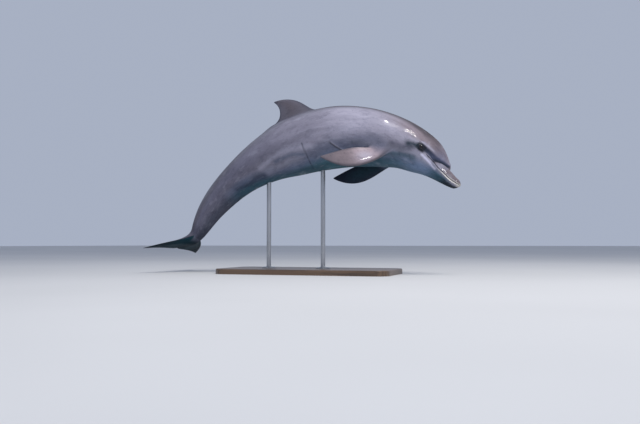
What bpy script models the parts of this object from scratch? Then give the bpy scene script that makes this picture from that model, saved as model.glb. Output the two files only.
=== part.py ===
"""Bottlenose dolphin, leaping, as a life-size display model on a two-rod stand.

Metres.  +Z up, the dolphin faces +X, its right side is towards -Y.
The origin is the middle of the underside of the stand's base.
"""
import math
import bpy
import numpy as np

for ob in list(bpy.data.objects):
    bpy.data.objects.remove(ob, do_unlink=True)


# ---------------------------------------------------------------- sizes (metres, degrees)
LENGTH = 2.50            # beak tip to fluke notch, along the spine
BEAK_TIP = (1.06, 0.0, .594)

# spine: fraction of the length from the beak tip, elevation of the forward direction
SPINE = ((0, -33.5), (.07, -37.3), (.14, -36), (.22, -21.9), (.30, -8.5), (.40, 5.7), (.50, 15.7),
         (.60, 25.4), (.70, 36.4), (.80, 47.2), (.90, 60.4), (.935, 42.5), (.965, 24.5), (1.04, 22.5))
# bank about the spine: the right side is this much higher
BANK = ((0, 19.0), (.25, 16.3), (.50, 8.6), (.75, 4.9), (.93, 3.6), (1.04, 3.6))

# lower tube: beak and jaw, then the belly.  s, beak top, depth below the axis, half width
JAW = ((0, .0170, .0230, .0260), (.010, .0240, .0400, .0345), (.020, .0275, .0475, .0380), (.046, .0425, .0590, .0460),
       (.075, .0475, .0700, .0610), (.105, .050, .0880, .0840), (.138, .060, .1180, .1170),
       (.18, .080, .1478, .1480), (.22, .100, .1767, .1780), (.30, .120, .2110, .2080),
       (.40, .120, .2230, .2180), (.50, .120, .2125, .2030), (.60, .100, .1720, .1680),
       (.70, .080, .1348, .1220), (.80, .060, .1112, .0780), (.88, .040, .0815, .0480),
       (.925, .030, .0540, .0360))
# upper tube: melon, then the back.  s, height over the axis, half width
BACK = ((.039, .0330, .0090), (.045, .0500, .0160), (.049, .0650, .0205), (.054, .0785, .0265), (.062, .0900, .0350),
        (.071, .1055, .0460), (.078, .1163, .0560), (.087, .1295, .0675), (.095, .1400, .0765), (.105, .1510, .0900),
        (.120, .1608, .1090), (.138, .1680, .1250), (.18, .1757, .1500),
        (.22, .1812, .1780), (.30, .1977, .2080), (.40, .2146, .2180), (.50, .2155, .2030),
        (.60, .1760, .1680), (.70, .1395, .1220), (.80, .1162, .0780), (.88, .0862, .0480),
        (.925, .0570, .0360))
# roundness of the section above and below the axis (2 is an ellipse, less is keeled)
ROUND_TOP = ((0, 2.3), (.042, 2.4), (.060, 3.0), (.080, 2.9), (.10, 2.6), (.125, 2.3), (.15, 2.12), (.25, 2.0),
             (.50, 1.95), (.70, 1.8), (.85, 1.6), (.925, 1.6))
ROUND_LOW = ((0, 2.3), (.06, 2.2), (.14, 2.1), (.25, 2.05), (.50, 2.0), (.70, 1.8), (.85, 1.6), (.925, 1.6))
# eyes: station and angle above the side, and how far the flesh stands out round them
EYE_S, EYE_A, EYE_SWELL = .1375, .168, .005


def pchip(table, x, column=1):
    """Monotone curve through the rows of a table."""
    t = np.asarray(table, float)
    xs, ys = t[:, 0], t[:, column]
    x = np.asarray(x, float)
    h = np.diff(xs)
    d = np.diff(ys) / h
    m = np.zeros_like(ys)
    for i in range(1, len(xs) - 1):
        if d[i - 1] * d[i] > 0:
            a, b = 2 * h[i] + h[i - 1], h[i] + 2 * h[i - 1]
            m[i] = (a + b) / (a / d[i - 1] + b / d[i])

    def end(h0, h1, d0, d1):
        v = ((2 * h0 + h1) * d0 - h0 * d1) / (h0 + h1)
        if v * d0 <= 0:
            return 0.0
        if d0 * d1 <= 0 and abs(v) > 3 * abs(d0):
            return 3 * d0
        return v
    m[0] = end(h[0], h[1], d[0], d[1])
    m[-1] = end(h[-1], h[-2], d[-1], d[-2])
    k = np.clip(np.searchsorted(xs, x, side="right") - 1, 0, len(h) - 1)
    u = np.clip((x - xs[k]) / h[k], 0, 1)
    return ((2 * u**3 - 3 * u**2 + 1) * ys[k] + (u**3 - 2 * u**2 + u) * h[k] * m[k]
            + (3 * u**2 - 2 * u**3) * ys[k + 1] + (u**3 - u**2) * h[k] * m[k + 1])


def smooth_max(a, b, k):
    q = np.maximum(k - np.abs(a - b), 0.0) / np.maximum(k, 1e-9)
    return np.maximum(a, b) + q * q * k * 0.25


def dome(t):
    t = np.clip(t, 0, 1)
    return np.sqrt(t * (2 - t))


def oval(w, h, n, c, s):
    return ((np.abs(c) / np.maximum(w, 1e-6))**n + (np.abs(s) / np.maximum(h, 1e-6))**n)**(-1 / n)


def radius(s, a):
    """Distance of the skin from the spine at station s and angle a (0 right, 90 degrees up)."""
    s, a = np.broadcast_arrays(np.asarray(s, float), np.asarray(a, float))
    tip = dome(s / .014)
    top, low, wj = (pchip(JAW, s, i) * tip for i in (1, 2, 3))
    front = dome((s - BACK[0][0]) / .02)
    sb = np.maximum(s, BACK[0][0])
    high, wm = pchip(BACK, sb, 1) * front, pchip(BACK, sb, 2) * front
    k = .012 * np.clip((.20 - s) / .06, 0, 1)
    wide = smooth_max(wj, wm, k)
    nu, nl = pchip(ROUND_TOP, s), pchip(ROUND_LOW, s)
    c, z = np.cos(a), np.sin(a)
    back = oval(wm, high, nu, c, z)
    up = np.where(s < .2, smooth_max(oval(wj, top, nu, c, z), back, k), back)
    d = np.where(z >= 0, up, oval(wide, low, nl, c, z))
    side = np.arctan2(z, np.abs(c))
    return d + EYE_SWELL * np.exp(-((s - EYE_S) * LENGTH / .036)**2 - ((side - EYE_A) * d / .026)**2)


_g = np.linspace(0, 1.06, 1061)
_e = np.radians(pchip(SPINE, _g))
_t = np.stack([np.cos(_e), 0 * _e, np.sin(_e)], 1)
_p = np.zeros((len(_g), 3))
_p[1:] = -np.cumsum((_t[1:] + _t[:-1]) / 2 * (np.diff(_g) * LENGTH)[:, None], 0)
ORIGIN = np.array(BEAK_TIP)


def frame_at(s):
    """Spine point, forward, right and up directions at station s."""
    s = np.asarray(s, float)
    p = np.stack([np.interp(s, _g, _p[:, i]) for i in range(3)], -1) + ORIGIN
    e = np.radians(pchip(SPINE, np.clip(s, 0, 1.04)))
    b = np.radians(pchip(BANK, np.clip(s, 0, 1.04)))
    f = np.stack([np.cos(e), 0 * e, np.sin(e)], -1)
    u = np.stack([-np.sin(e), 0 * e, np.cos(e)], -1)
    r = np.zeros_like(f)
    r[..., 1] = -1
    c, z = np.cos(b)[..., None], np.sin(b)[..., None]
    return p, f, c * r + z * u, c * u - z * r


def skin(s, a, out=0.0):
    """Point of the body's skin; out lifts it off the body."""
    s, a = np.broadcast_arrays(np.asarray(s, float), np.asarray(a, float))
    p, f, r, u = frame_at(s)
    d = radius(s, a) + out
    return p + (d * np.cos(a))[..., None] * r + (d * np.sin(a))[..., None] * u


def bezier(pts, t):
    t = np.asarray(t, float)[..., None]
    a, b, c, d = (np.asarray(p, float) for p in pts)
    return (1 - t)**3 * a + 3 * (1 - t)**2 * t * b + 3 * (1 - t) * t * t * c + t**3 * d


def fin_outline(lead, trail, rows, t_end, nose_rows):
    """Leading and trailing edge points of each row, closed by a rounded tip."""
    t = t_end * (1 - (1 - np.linspace(0, 1, rows))**1.3)
    le, te = bezier(lead, t), bezier(trail, t)
    mid, half = (le[-1] + te[-1]) / 2, (te[-1] - le[-1]) / 2
    tip = np.asarray(lead[3], float)
    reach = tip - mid
    q = np.linspace(0, np.pi / 2, nose_rows + 1)[1:]
    for v in q:
        le = np.vstack([le, mid + reach * np.sin(v) - half * max(np.cos(v), .12)])
        te = np.vstack([te, mid + reach * np.sin(v) + half * max(np.cos(v), .12)])
    return le, te


def foil(c):
    """Thickness over the chord, 1 at its thickest."""
    c = np.clip(c, 0, 1)
    return .94 * 2.598 * np.sqrt(c) * (1 - c) + .06


# ---- fins: planform points (backwards along the body, outwards), metres
DORSAL_S, DORSAL_SINK = .437, .012
DORSAL_LEAD = ((0, 0), (.075, .100), (.165, .187), (.320, .167))
DORSAL_TRAIL = ((.378, -.080), (.268, -.012), (.240, .103), (.320, .167))
DORSAL_THICK = (.036, .007)
FLIP_S, FLIP_ANGLE = .209, 54.0
FLIP_SET = {1: (82, -20, -2), -1: (74, -15, -5)}
FLIP_LEAD = ((0, 0), (.081, .139), (.147, .255), (.368, .262))
FLIP_TRAIL = ((.098, .0), (.205, .060), (.236, .090), (.368, .262))
FLIP_THICK = (.034, .007)
FLUKE_S = .925
FLUKE_THICK = .014


def turn(v, axis, a):
    axis = axis / np.linalg.norm(axis)
    return v * math.cos(a) + np.cross(axis, v) * math.sin(a) + axis * (axis @ v) * (1 - math.cos(a))


def fin_rows(s0, angle, back, plane, lead, trail, thick, rows, around, t_end=.95, nose=4, sink=0.0, twist=0.0):
    """Closed loops of a fin, from its root outwards."""
    p, f, r, u = frame_at(s0)
    side = 1 if math.cos(angle) >= -1e-9 else -1
    root = skin(s0, angle) - sink * plane
    le, te = fin_outline(lead, trail, rows, t_end, nose)
    half = around // 2
    c = (1 - np.cos(np.linspace(0, np.pi, half + 1))) / 2
    n = np.cross(back, plane)
    loops = []
    for k in range(len(le)):
        chord = te[k] - le[k]
        size = np.linalg.norm(chord)
        q = min(1.0, k / (rows - 1))
        th = (thick[0] * (1 - q) + thick[1] * q) * (1 if k < rows else size / np.linalg.norm(te[rows - 1] - le[rows - 1]))
        near = max(0.0, 1 - q / .16)**2
        th *= 1 + .7 * near
        a, b = le[k] - chord * .10 * near, chord * (1 + .14 * near)
        cc = np.concatenate([c, c[-2:0:-1]])
        sg = np.concatenate([np.ones(half + 1), -np.ones(half - 1)])
        pt = a + b * cc[:, None]
        z = sg * foil(cc) * th / 2
        z[0] = 0
        z[half] = 0
        loops.append(root + pt[:, :1] * back + pt[:, 1:2] * plane + z[:, None] * n)
    return np.array(loops)


def flipper(side, rows=14, around=24):
    p, f, r, u = frame_at(FLIP_S)
    drop, pitch, yaw = (math.radians(v) for v in FLIP_SET[side])
    plane = math.cos(drop) * r * side - math.sin(drop) * u
    back = -f
    n = np.cross(back, plane)
    back, plane = turn(back, n, yaw), turn(plane, n, yaw)
    back = turn(back, plane, pitch * side)
    ang = -math.radians(FLIP_ANGLE)
    return fin_rows(FLIP_S, ang if side == 1 else math.pi - ang, back, plane, FLIP_LEAD, FLIP_TRAIL, FLIP_THICK, rows, around)


def dorsal(rows=14, around=24):
    p, f, r, u = frame_at(DORSAL_S)
    return fin_rows(DORSAL_S, math.pi / 2, -f, u, DORSAL_LEAD, DORSAL_TRAIL, DORSAL_THICK, rows, around, sink=DORSAL_SINK)

FLUKE_LEAD = ((.036, 0.0), (.043, .026), (.228, .062), (.374, .250))
FLUKE_TRAIL = ((.0, .185), (.03, .222), (.17, .185), (.374, .250))

def fluke_edge(u):
    """Outline of the flukes, u from 0 (right root) over .5 (notch) to 1 (left root): (right, back)."""
    u = np.asarray(u, float)
    m = np.where(u > .5, 1 - u, u) * 2
    lead = bezier(FLUKE_LEAD, np.clip(m / .5, 0, 1))
    trail = bezier(FLUKE_TRAIL, np.clip((1 - m) / .5, 0, 1))
    q = np.where((m < .5)[..., None], lead, trail)
    return q * np.stack([np.where(u > .5, -1, 1), np.ones_like(u)], -1)

def fluke(nu=41, nv=13, side=1):
    u = np.linspace(0, 1, nu)
    e = fluke_edge(u)
    a = np.pi * u * side
    rr = radius(FLUKE_S, a)
    y0, z0 = rr * np.cos(a), rr * np.sin(a)
    v = np.linspace(0, 1, nv)[:, None]
    y = y0 + (e[:, 0] - y0) * v
    x = e[:, 1] * v
    z = z0 * (1 - v)**3
    reach = np.hypot(e[:, 0] - y0, e[:, 1])
    plump = FLUKE_THICK * np.clip(reach / .10, 0, 1)**.5 * (1 - .45 * np.clip(np.abs(e[:, 0]) / FLUKE_LEAD[3][0], 0, 1))
    z = z + side * plump * np.sqrt(np.clip(1 - v, 0, 1)) * (1 - (1 - v)**3)
    s = FLUKE_S + x / LENGTH
    p, f, r, uu = frame_at(s)
    return p + y[..., None] * r + z[..., None] * uu


# ---------------------------------------------------------------- where the body is divided
GAP = .0003
START = .0004
CREASE = .046            # back end of the beak, where the melon rises
GAPE = .110              # corner of the mouth
NECK, SHOULDER, WAIST, VENT, PEDUNCLE = .185, .330, .550, .730, FLUKE_S
AROUND = 32

# mouth line: height over the spine, as a share of the jaw's depth
MOUTH = ((0, -.30), (.02, -.31), (.03, -.285), (.042, -.21), (.056, -.13), (.066, -.10), (.077, -.05), (.094, .06), (.115, .07))

EYE_R, EYE_OUT = .018, .0040

BASE_LENGTH, BASE_WIDTH, BASE_THICK, BASE_CORNER, BASE_EDGE = 1.25, .56, .036, .09, .006
ROD_R, FOOT_R, FOOT_H = .016, .050, .010
ROD_FRONT_S, ROD_REAR_S = .440, .630


# ---------------------------------------------------------------- mesh helpers
def solid(name, verts, faces):
    """Closed body from points and polygons; equal points are joined."""
    verts = np.asarray(verts, float)
    keys, index, points = {}, [], []
    for v in verts:
        k = tuple(np.round(v, 7))
        if k not in keys:
            keys[k] = len(points)
            points.append(tuple(v))
        index.append(keys[k])
    tris = []
    for f in faces:
        f = [index[i] for i in f]
        for i in range(1, len(f) - 1):
            t = (f[0], f[i], f[i + 1])
            if len(set(t)) == 3:
                tris.append(t)
    volume = sum(np.dot(points[a], np.cross(points[b], points[c])) for a, b, c in tris)
    if volume < 0:
        tris = [(a, c, b) for a, b, c in tris]
    mesh = bpy.data.meshes.new(name)
    mesh.from_pydata(points, [], tris)
    mesh.update()
    ob = bpy.data.objects.new(name, mesh)
    bpy.context.scene.collection.objects.link(ob)
    return ob


def tube(name, loops, ends=None):
    """Skin over a list of closed loops, capped at both ends.  A cap is a strip across the loop."""
    loops = np.asarray(loops)
    n, m = loops.shape[:2]
    faces = []
    for i in range(n - 1):
        for j in range(m):
            k = (j + 1) % m
            faces.append((i * m + j, i * m + k, (i + 1) * m + k, (i + 1) * m + j))
    for base, flip in ((0, True), ((n - 1) * m, False)):
        for j in range(m // 2):
            a, b = base + j, base + j + 1
            c, d = base + (m - 1 - j) % m, base + (m - j) % m
            quad = (d, a, b, c) if j else (base, b, c)
            if len(set(quad)) < 3:
                continue
            faces.append(tuple(reversed(quad)) if flip else quad)
    return solid(name, loops.reshape(-1, 3), faces)


def cut(target, cutter):
    cutter.hide_render = True
    cutter.display_type = 'WIRE'
    cutter.hide_viewport = False
    mod = target.modifiers.new("cut", 'BOOLEAN')
    mod.operation = 'DIFFERENCE'
    mod.solver = 'EXACT'
    mod.object = cutter
    mod.show_viewport = True
    mod.show_render = True


# ---------------------------------------------------------------- body rings
def ring(s, out=0.0):
    a = np.arange(AROUND) * 2 * math.pi / AROUND
    return skin(np.full(AROUND, s), a, out)


def half_ring(s, upper):
    """Ring of the part over or under the mouth line, closed along it."""
    low = pchip(JAW, s, 2) * dome(s / .014)
    h = pchip(MOUTH, s) * low + (GAP / 2 if upper else -GAP / 2)
    a = 0.0
    for _ in range(40):
        a = math.asin(float(np.clip(h / radius(s, a), -1, 1)))
    n = AROUND // 2
    if upper:
        ang = a + (math.pi - 2 * a) * np.arange(n + 1) / n
    else:
        ang = a - (math.pi + 2 * a) * np.arange(n + 1) / n
    pts = skin(np.full(n + 1, s), ang)
    flat = [pts[-1] * (1 - t) + pts[0] * t for t in (.25, .5, .75)]
    return np.vstack([pts, flat])


def stations(a, b, step):
    n = max(1, int(math.ceil((b - a) / step - 1e-6)))
    return [a + (b - a) * i / n for i in range(n + 1)]


g = GAP / LENGTH / 2
nose = [START, .0018, .004, .007, .0105, .0145]
beak_s = nose + stations(.020, CREASE - g, .0065)
melon_s = stations(CREASE + g, .062, .0033) + stations(.068, GAPE - g, .0075)
jaw_s = beak_s[:-1] + [CREASE] + melon_s[1:]

tube("beak_upper", [half_ring(s, True) for s in beak_s])
tube("melon", [half_ring(s, True) for s in melon_s])
tube("lower_jaw", [half_ring(s, False) for s in jaw_s])
head = tube("head", [ring(s) for s in stations(GAPE + g, NECK - g, .0095)])
cuts = ((NECK, SHOULDER, "trunk_front"), (SHOULDER, WAIST, "trunk_middle"), (WAIST, VENT, "trunk_rear"),
        (VENT, PEDUNCLE, "tail_stock"))
body_s = [.150]
for a, b, name in cuts:
    s = stations(a + g, b - g, .0235)
    tube(name, [ring(v) for v in s])
    body_s += s
body_s = sorted(body_s)
shell = tube("cutter_body", [ring(v, GAP) for v in body_s])


# ---------------------------------------------------------------- fins
def fin(name, loops, grow):
    """Loft of the fin, carried on into the body and cut along its skin."""
    first, second = loops[0], loops[1]
    mid = first.mean(0)
    inward = -grow
    inner = mid + (first - mid) * 1.06 + inward
    ob = tube(name, np.concatenate([[inner], loops]))
    cut(ob, shell)
    return ob


p, f, r, u = frame_at(DORSAL_S)
fin("dorsal_fin", dorsal(11, 20), u * .045)
for side, name in ((1, "flipper_right"), (-1, "flipper_left")):
    p, f, r, u = frame_at(FLIP_S)
    drop = math.radians(FLIP_SET[side][0])
    fin(name, flipper(side, 11, 20), .06 * (math.cos(drop) * r * side - math.sin(drop) * u))


# ---------------------------------------------------------------- flukes
def half_fluke(name, side):
    nu, nv = 16, 8
    top, low = fluke(2 * nu + 1, nv, 1), fluke(2 * nu + 1, nv, -1)
    cols = list(range(nu + 1)) if side == 1 else list(range(2 * nu, nu - 1, -1))
    p, f, r, u = frame_at(FLUKE_S)
    top, low = top[:, cols], low[:, cols]
    # clear of the tail stock in front and of the other half in the middle
    for grid in (top, low):
        grid += -f * GAP / 2
        grid[:, -1] += r * side * GAP / 2
    low[-1] = top[-1]
    n = nv * (nu + 1)
    verts = np.concatenate([top.reshape(-1, 3), low.reshape(-1, 3)])
    at = lambda i, j, k: k * n + i * (nu + 1) + j
    faces = []
    for i in range(nv - 1):
        for j in range(nu):
            faces.append((at(i, j, 0), at(i, j + 1, 0), at(i + 1, j + 1, 0), at(i + 1, j, 0)))
            faces.append((at(i, j, 1), at(i + 1, j, 1), at(i + 1, j + 1, 1), at(i, j + 1, 1)))
        faces.append((at(i, nu, 0), at(i, nu, 1), at(i + 1, nu, 1), at(i + 1, nu, 0)))
    for j in range(nu):
        faces.append((at(0, j, 0), at(0, j, 1), at(0, j + 1, 1), at(0, j + 1, 0)))
    return solid(name, verts, faces)


half_fluke("fluke_right", 1)
half_fluke("fluke_left", -1)


# ---------------------------------------------------------------- eyes
def ball(name, centre, axis, r, rows=8, around=16):
    axis = axis / np.linalg.norm(axis)
    e1 = np.cross(axis, (0, 0, 1.0))
    e1 /= np.linalg.norm(e1)
    e2 = np.cross(axis, e1)
    loops = []
    for k in range(rows + 1):
        t = math.pi * (.04 + .92 * k / rows)
        a = np.arange(around) * 2 * math.pi / around
        loops.append(centre - axis * r * math.cos(t) + r * math.sin(t)
                     * (np.cos(a)[:, None] * e1 + np.sin(a)[:, None] * e2))
    return tube(name, loops)


def eye_seat(side):
    a = EYE_A if side == 1 else math.pi - EYE_A
    at, near, over = skin(EYE_S, a), skin(EYE_S + .004, a), skin(EYE_S, a + .02)
    n = np.cross(near - at, over - at)
    n /= np.linalg.norm(n)
    p = frame_at(EYE_S)[0]
    if n @ (at - p) < 0:
        n = -n
    return at - n * (EYE_R - EYE_OUT), n


for side, name in ((1, "eye_right"), (-1, "eye_left")):
    centre, n = eye_seat(side)
    ball(name, centre, n, EYE_R)
    cut(head, ball("cutter_" + name, centre, n, EYE_R + GAP))


# ---------------------------------------------------------------- stand
def outline(length, width, corner, z, steps=6):
    pts = []
    for cx, cy, t0 in ((1, 1, 0), (-1, 1, 90), (-1, -1, 180), (1, -1, 270)):
        for k in range(steps + 1):
            t = math.radians(t0 + 90 * k / steps)
            pts.append(((length / 2 - corner) * cx + corner * math.cos(t),
                        (width / 2 - corner) * cy + corner * math.sin(t), z))
    return np.array(pts)


tube("stand_base", [outline(BASE_LENGTH, BASE_WIDTH, BASE_CORNER, 0),
                    outline(BASE_LENGTH, BASE_WIDTH, BASE_CORNER, BASE_THICK - BASE_EDGE),
                    outline(BASE_LENGTH - 2 * BASE_EDGE, BASE_WIDTH - 2 * BASE_EDGE, BASE_CORNER - BASE_EDGE,
                            BASE_THICK)])


def rod(name, s):
    """Upright under the lowest point of the belly at station s, standing on a round foot."""
    a = np.radians(np.linspace(-130, -50, 321))
    low = skin(np.full(321, s), a)
    low = low[low[:, 2].argmin()]
    t = np.arange(32) * 2 * math.pi / 32
    around = np.stack([np.cos(t), np.sin(t), 0 * t], 1)
    z0 = BASE_THICK + GAP
    loops = [np.array((low[0], low[1], z)) + around * r for z, r in
             ((z0, FOOT_R), (z0 + FOOT_H * .6, FOOT_R), (z0 + FOOT_H, FOOT_R - .004),
              (z0 + FOOT_H, ROD_R + .006), (z0 + FOOT_H + .006, ROD_R), (low[2] + .03, ROD_R))]
    cut(tube(name, loops), shell)


rod("stand_rod_front", ROD_FRONT_S)
rod("stand_rod_rear", ROD_REAR_S)
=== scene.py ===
"""Looks of the bottlenose dolphin on its stand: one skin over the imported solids, eyes, materials, light."""
import math

import bmesh
import bpy
import numpy as np
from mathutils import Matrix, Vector


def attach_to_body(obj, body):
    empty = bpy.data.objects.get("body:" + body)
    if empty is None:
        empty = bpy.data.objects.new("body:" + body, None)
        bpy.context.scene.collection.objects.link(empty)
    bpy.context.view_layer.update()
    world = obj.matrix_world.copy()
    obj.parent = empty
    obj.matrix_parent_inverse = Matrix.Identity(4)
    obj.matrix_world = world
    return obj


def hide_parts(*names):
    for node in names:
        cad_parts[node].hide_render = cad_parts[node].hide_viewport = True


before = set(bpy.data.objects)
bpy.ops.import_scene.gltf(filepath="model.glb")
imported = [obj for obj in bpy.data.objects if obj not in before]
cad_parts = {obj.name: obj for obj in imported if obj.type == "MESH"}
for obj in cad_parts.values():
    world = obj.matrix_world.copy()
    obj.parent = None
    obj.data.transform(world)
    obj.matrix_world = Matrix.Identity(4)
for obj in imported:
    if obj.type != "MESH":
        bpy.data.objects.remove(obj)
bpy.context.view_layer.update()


# ---------------------------------------------------------------- sizes (metres, degrees)
LENGTH = 2.50            # beak tip to fluke notch, along the spine
BEAK_TIP = (1.06, 0.0, .594)

# spine: fraction of the length from the beak tip, elevation of the forward direction
SPINE = ((0, -33.5), (.07, -37.3), (.14, -36), (.22, -21.9), (.30, -8.5), (.40, 5.7), (.50, 15.7),
         (.60, 25.4), (.70, 36.4), (.80, 47.2), (.90, 60.4), (.935, 42.5), (.965, 24.5), (1.04, 22.5))
# bank about the spine: the right side is this much higher
BANK = ((0, 19.0), (.25, 16.3), (.50, 8.6), (.75, 4.9), (.93, 3.6), (1.04, 3.6))

# lower tube: beak and jaw, then the belly.  s, beak top, depth below the axis, half width
JAW = ((0, .0170, .0230, .0260), (.010, .0240, .0400, .0345), (.020, .0275, .0475, .0380), (.046, .0425, .0590, .0460),
       (.075, .0475, .0700, .0610), (.105, .050, .0880, .0840), (.138, .060, .1180, .1170),
       (.18, .080, .1478, .1480), (.22, .100, .1767, .1780), (.30, .120, .2110, .2080),
       (.40, .120, .2230, .2180), (.50, .120, .2125, .2030), (.60, .100, .1720, .1680),
       (.70, .080, .1348, .1220), (.80, .060, .1112, .0780), (.88, .040, .0815, .0480),
       (.925, .030, .0540, .0360))
# upper tube: melon, then the back.  s, height over the axis, half width
BACK = ((.039, .0330, .0090), (.045, .0500, .0160), (.049, .0650, .0205), (.054, .0785, .0265), (.062, .0900, .0350),
        (.071, .1055, .0460), (.078, .1163, .0560), (.087, .1295, .0675), (.095, .1400, .0765), (.105, .1510, .0900),
        (.120, .1608, .1090), (.138, .1680, .1250), (.18, .1757, .1500),
        (.22, .1812, .1780), (.30, .1977, .2080), (.40, .2146, .2180), (.50, .2155, .2030),
        (.60, .1760, .1680), (.70, .1395, .1220), (.80, .1162, .0780), (.88, .0862, .0480),
        (.925, .0570, .0360))
# roundness of the section above and below the axis (2 is an ellipse, less is keeled)
ROUND_TOP = ((0, 2.3), (.042, 2.4), (.060, 3.0), (.080, 2.9), (.10, 2.6), (.125, 2.3), (.15, 2.12), (.25, 2.0),
             (.50, 1.95), (.70, 1.8), (.85, 1.6), (.925, 1.6))
ROUND_LOW = ((0, 2.3), (.06, 2.2), (.14, 2.1), (.25, 2.05), (.50, 2.0), (.70, 1.8), (.85, 1.6), (.925, 1.6))
# eyes: station and angle above the side, and how far the flesh stands out round them
EYE_S, EYE_A, EYE_SWELL = .1375, .168, .005


def pchip(table, x, column=1):
    """Monotone curve through the rows of a table."""
    t = np.asarray(table, float)
    xs, ys = t[:, 0], t[:, column]
    x = np.asarray(x, float)
    h = np.diff(xs)
    d = np.diff(ys) / h
    m = np.zeros_like(ys)
    for i in range(1, len(xs) - 1):
        if d[i - 1] * d[i] > 0:
            a, b = 2 * h[i] + h[i - 1], h[i] + 2 * h[i - 1]
            m[i] = (a + b) / (a / d[i - 1] + b / d[i])

    def end(h0, h1, d0, d1):
        v = ((2 * h0 + h1) * d0 - h0 * d1) / (h0 + h1)
        if v * d0 <= 0:
            return 0.0
        if d0 * d1 <= 0 and abs(v) > 3 * abs(d0):
            return 3 * d0
        return v
    m[0] = end(h[0], h[1], d[0], d[1])
    m[-1] = end(h[-1], h[-2], d[-1], d[-2])
    k = np.clip(np.searchsorted(xs, x, side="right") - 1, 0, len(h) - 1)
    u = np.clip((x - xs[k]) / h[k], 0, 1)
    return ((2 * u**3 - 3 * u**2 + 1) * ys[k] + (u**3 - 2 * u**2 + u) * h[k] * m[k]
            + (3 * u**2 - 2 * u**3) * ys[k + 1] + (u**3 - u**2) * h[k] * m[k + 1])


def smooth_max(a, b, k):
    q = np.maximum(k - np.abs(a - b), 0.0) / np.maximum(k, 1e-9)
    return np.maximum(a, b) + q * q * k * 0.25


def dome(t):
    t = np.clip(t, 0, 1)
    return np.sqrt(t * (2 - t))


def oval(w, h, n, c, s):
    return ((np.abs(c) / np.maximum(w, 1e-6))**n + (np.abs(s) / np.maximum(h, 1e-6))**n)**(-1 / n)


def radius(s, a):
    """Distance of the skin from the spine at station s and angle a (0 right, 90 degrees up)."""
    s, a = np.broadcast_arrays(np.asarray(s, float), np.asarray(a, float))
    tip = dome(s / .014)
    top, low, wj = (pchip(JAW, s, i) * tip for i in (1, 2, 3))
    front = dome((s - BACK[0][0]) / .02)
    sb = np.maximum(s, BACK[0][0])
    high, wm = pchip(BACK, sb, 1) * front, pchip(BACK, sb, 2) * front
    k = .012 * np.clip((.20 - s) / .06, 0, 1)
    wide = smooth_max(wj, wm, k)
    nu, nl = pchip(ROUND_TOP, s), pchip(ROUND_LOW, s)
    c, z = np.cos(a), np.sin(a)
    back = oval(wm, high, nu, c, z)
    up = np.where(s < .2, smooth_max(oval(wj, top, nu, c, z), back, k), back)
    d = np.where(z >= 0, up, oval(wide, low, nl, c, z))
    side = np.arctan2(z, np.abs(c))
    return d + EYE_SWELL * np.exp(-((s - EYE_S) * LENGTH / .036)**2 - ((side - EYE_A) * d / .026)**2)


_g = np.linspace(0, 1.06, 1061)
_e = np.radians(pchip(SPINE, _g))
_t = np.stack([np.cos(_e), 0 * _e, np.sin(_e)], 1)
_p = np.zeros((len(_g), 3))
_p[1:] = -np.cumsum((_t[1:] + _t[:-1]) / 2 * (np.diff(_g) * LENGTH)[:, None], 0)
ORIGIN = np.array(BEAK_TIP)


def frame_at(s):
    """Spine point, forward, right and up directions at station s."""
    s = np.asarray(s, float)
    p = np.stack([np.interp(s, _g, _p[:, i]) for i in range(3)], -1) + ORIGIN
    e = np.radians(pchip(SPINE, np.clip(s, 0, 1.04)))
    b = np.radians(pchip(BANK, np.clip(s, 0, 1.04)))
    f = np.stack([np.cos(e), 0 * e, np.sin(e)], -1)
    u = np.stack([-np.sin(e), 0 * e, np.cos(e)], -1)
    r = np.zeros_like(f)
    r[..., 1] = -1
    c, z = np.cos(b)[..., None], np.sin(b)[..., None]
    return p, f, c * r + z * u, c * u - z * r


def skin(s, a, out=0.0):
    """Point of the body's skin; out lifts it off the body."""
    s, a = np.broadcast_arrays(np.asarray(s, float), np.asarray(a, float))
    p, f, r, u = frame_at(s)
    d = radius(s, a) + out
    return p + (d * np.cos(a))[..., None] * r + (d * np.sin(a))[..., None] * u


def bezier(pts, t):
    t = np.asarray(t, float)[..., None]
    a, b, c, d = (np.asarray(p, float) for p in pts)
    return (1 - t)**3 * a + 3 * (1 - t)**2 * t * b + 3 * (1 - t) * t * t * c + t**3 * d


def fin_outline(lead, trail, rows, t_end, nose_rows):
    """Leading and trailing edge points of each row, closed by a rounded tip."""
    t = t_end * (1 - (1 - np.linspace(0, 1, rows))**1.3)
    le, te = bezier(lead, t), bezier(trail, t)
    mid, half = (le[-1] + te[-1]) / 2, (te[-1] - le[-1]) / 2
    tip = np.asarray(lead[3], float)
    reach = tip - mid
    q = np.linspace(0, np.pi / 2, nose_rows + 1)[1:]
    for v in q:
        le = np.vstack([le, mid + reach * np.sin(v) - half * max(np.cos(v), .12)])
        te = np.vstack([te, mid + reach * np.sin(v) + half * max(np.cos(v), .12)])
    return le, te


def foil(c):
    """Thickness over the chord, 1 at its thickest."""
    c = np.clip(c, 0, 1)
    return .94 * 2.598 * np.sqrt(c) * (1 - c) + .06


# ---- fins: planform points (backwards along the body, outwards), metres
DORSAL_S, DORSAL_SINK = .437, .012
DORSAL_LEAD = ((0, 0), (.075, .100), (.165, .187), (.320, .167))
DORSAL_TRAIL = ((.378, -.080), (.268, -.012), (.240, .103), (.320, .167))
DORSAL_THICK = (.036, .007)
FLIP_S, FLIP_ANGLE = .209, 54.0
FLIP_SET = {1: (82, -20, -2), -1: (74, -15, -5)}
FLIP_LEAD = ((0, 0), (.081, .139), (.147, .255), (.368, .262))
FLIP_TRAIL = ((.098, .0), (.205, .060), (.236, .090), (.368, .262))
FLIP_THICK = (.034, .007)
FLUKE_S = .925
FLUKE_THICK = .014


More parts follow.
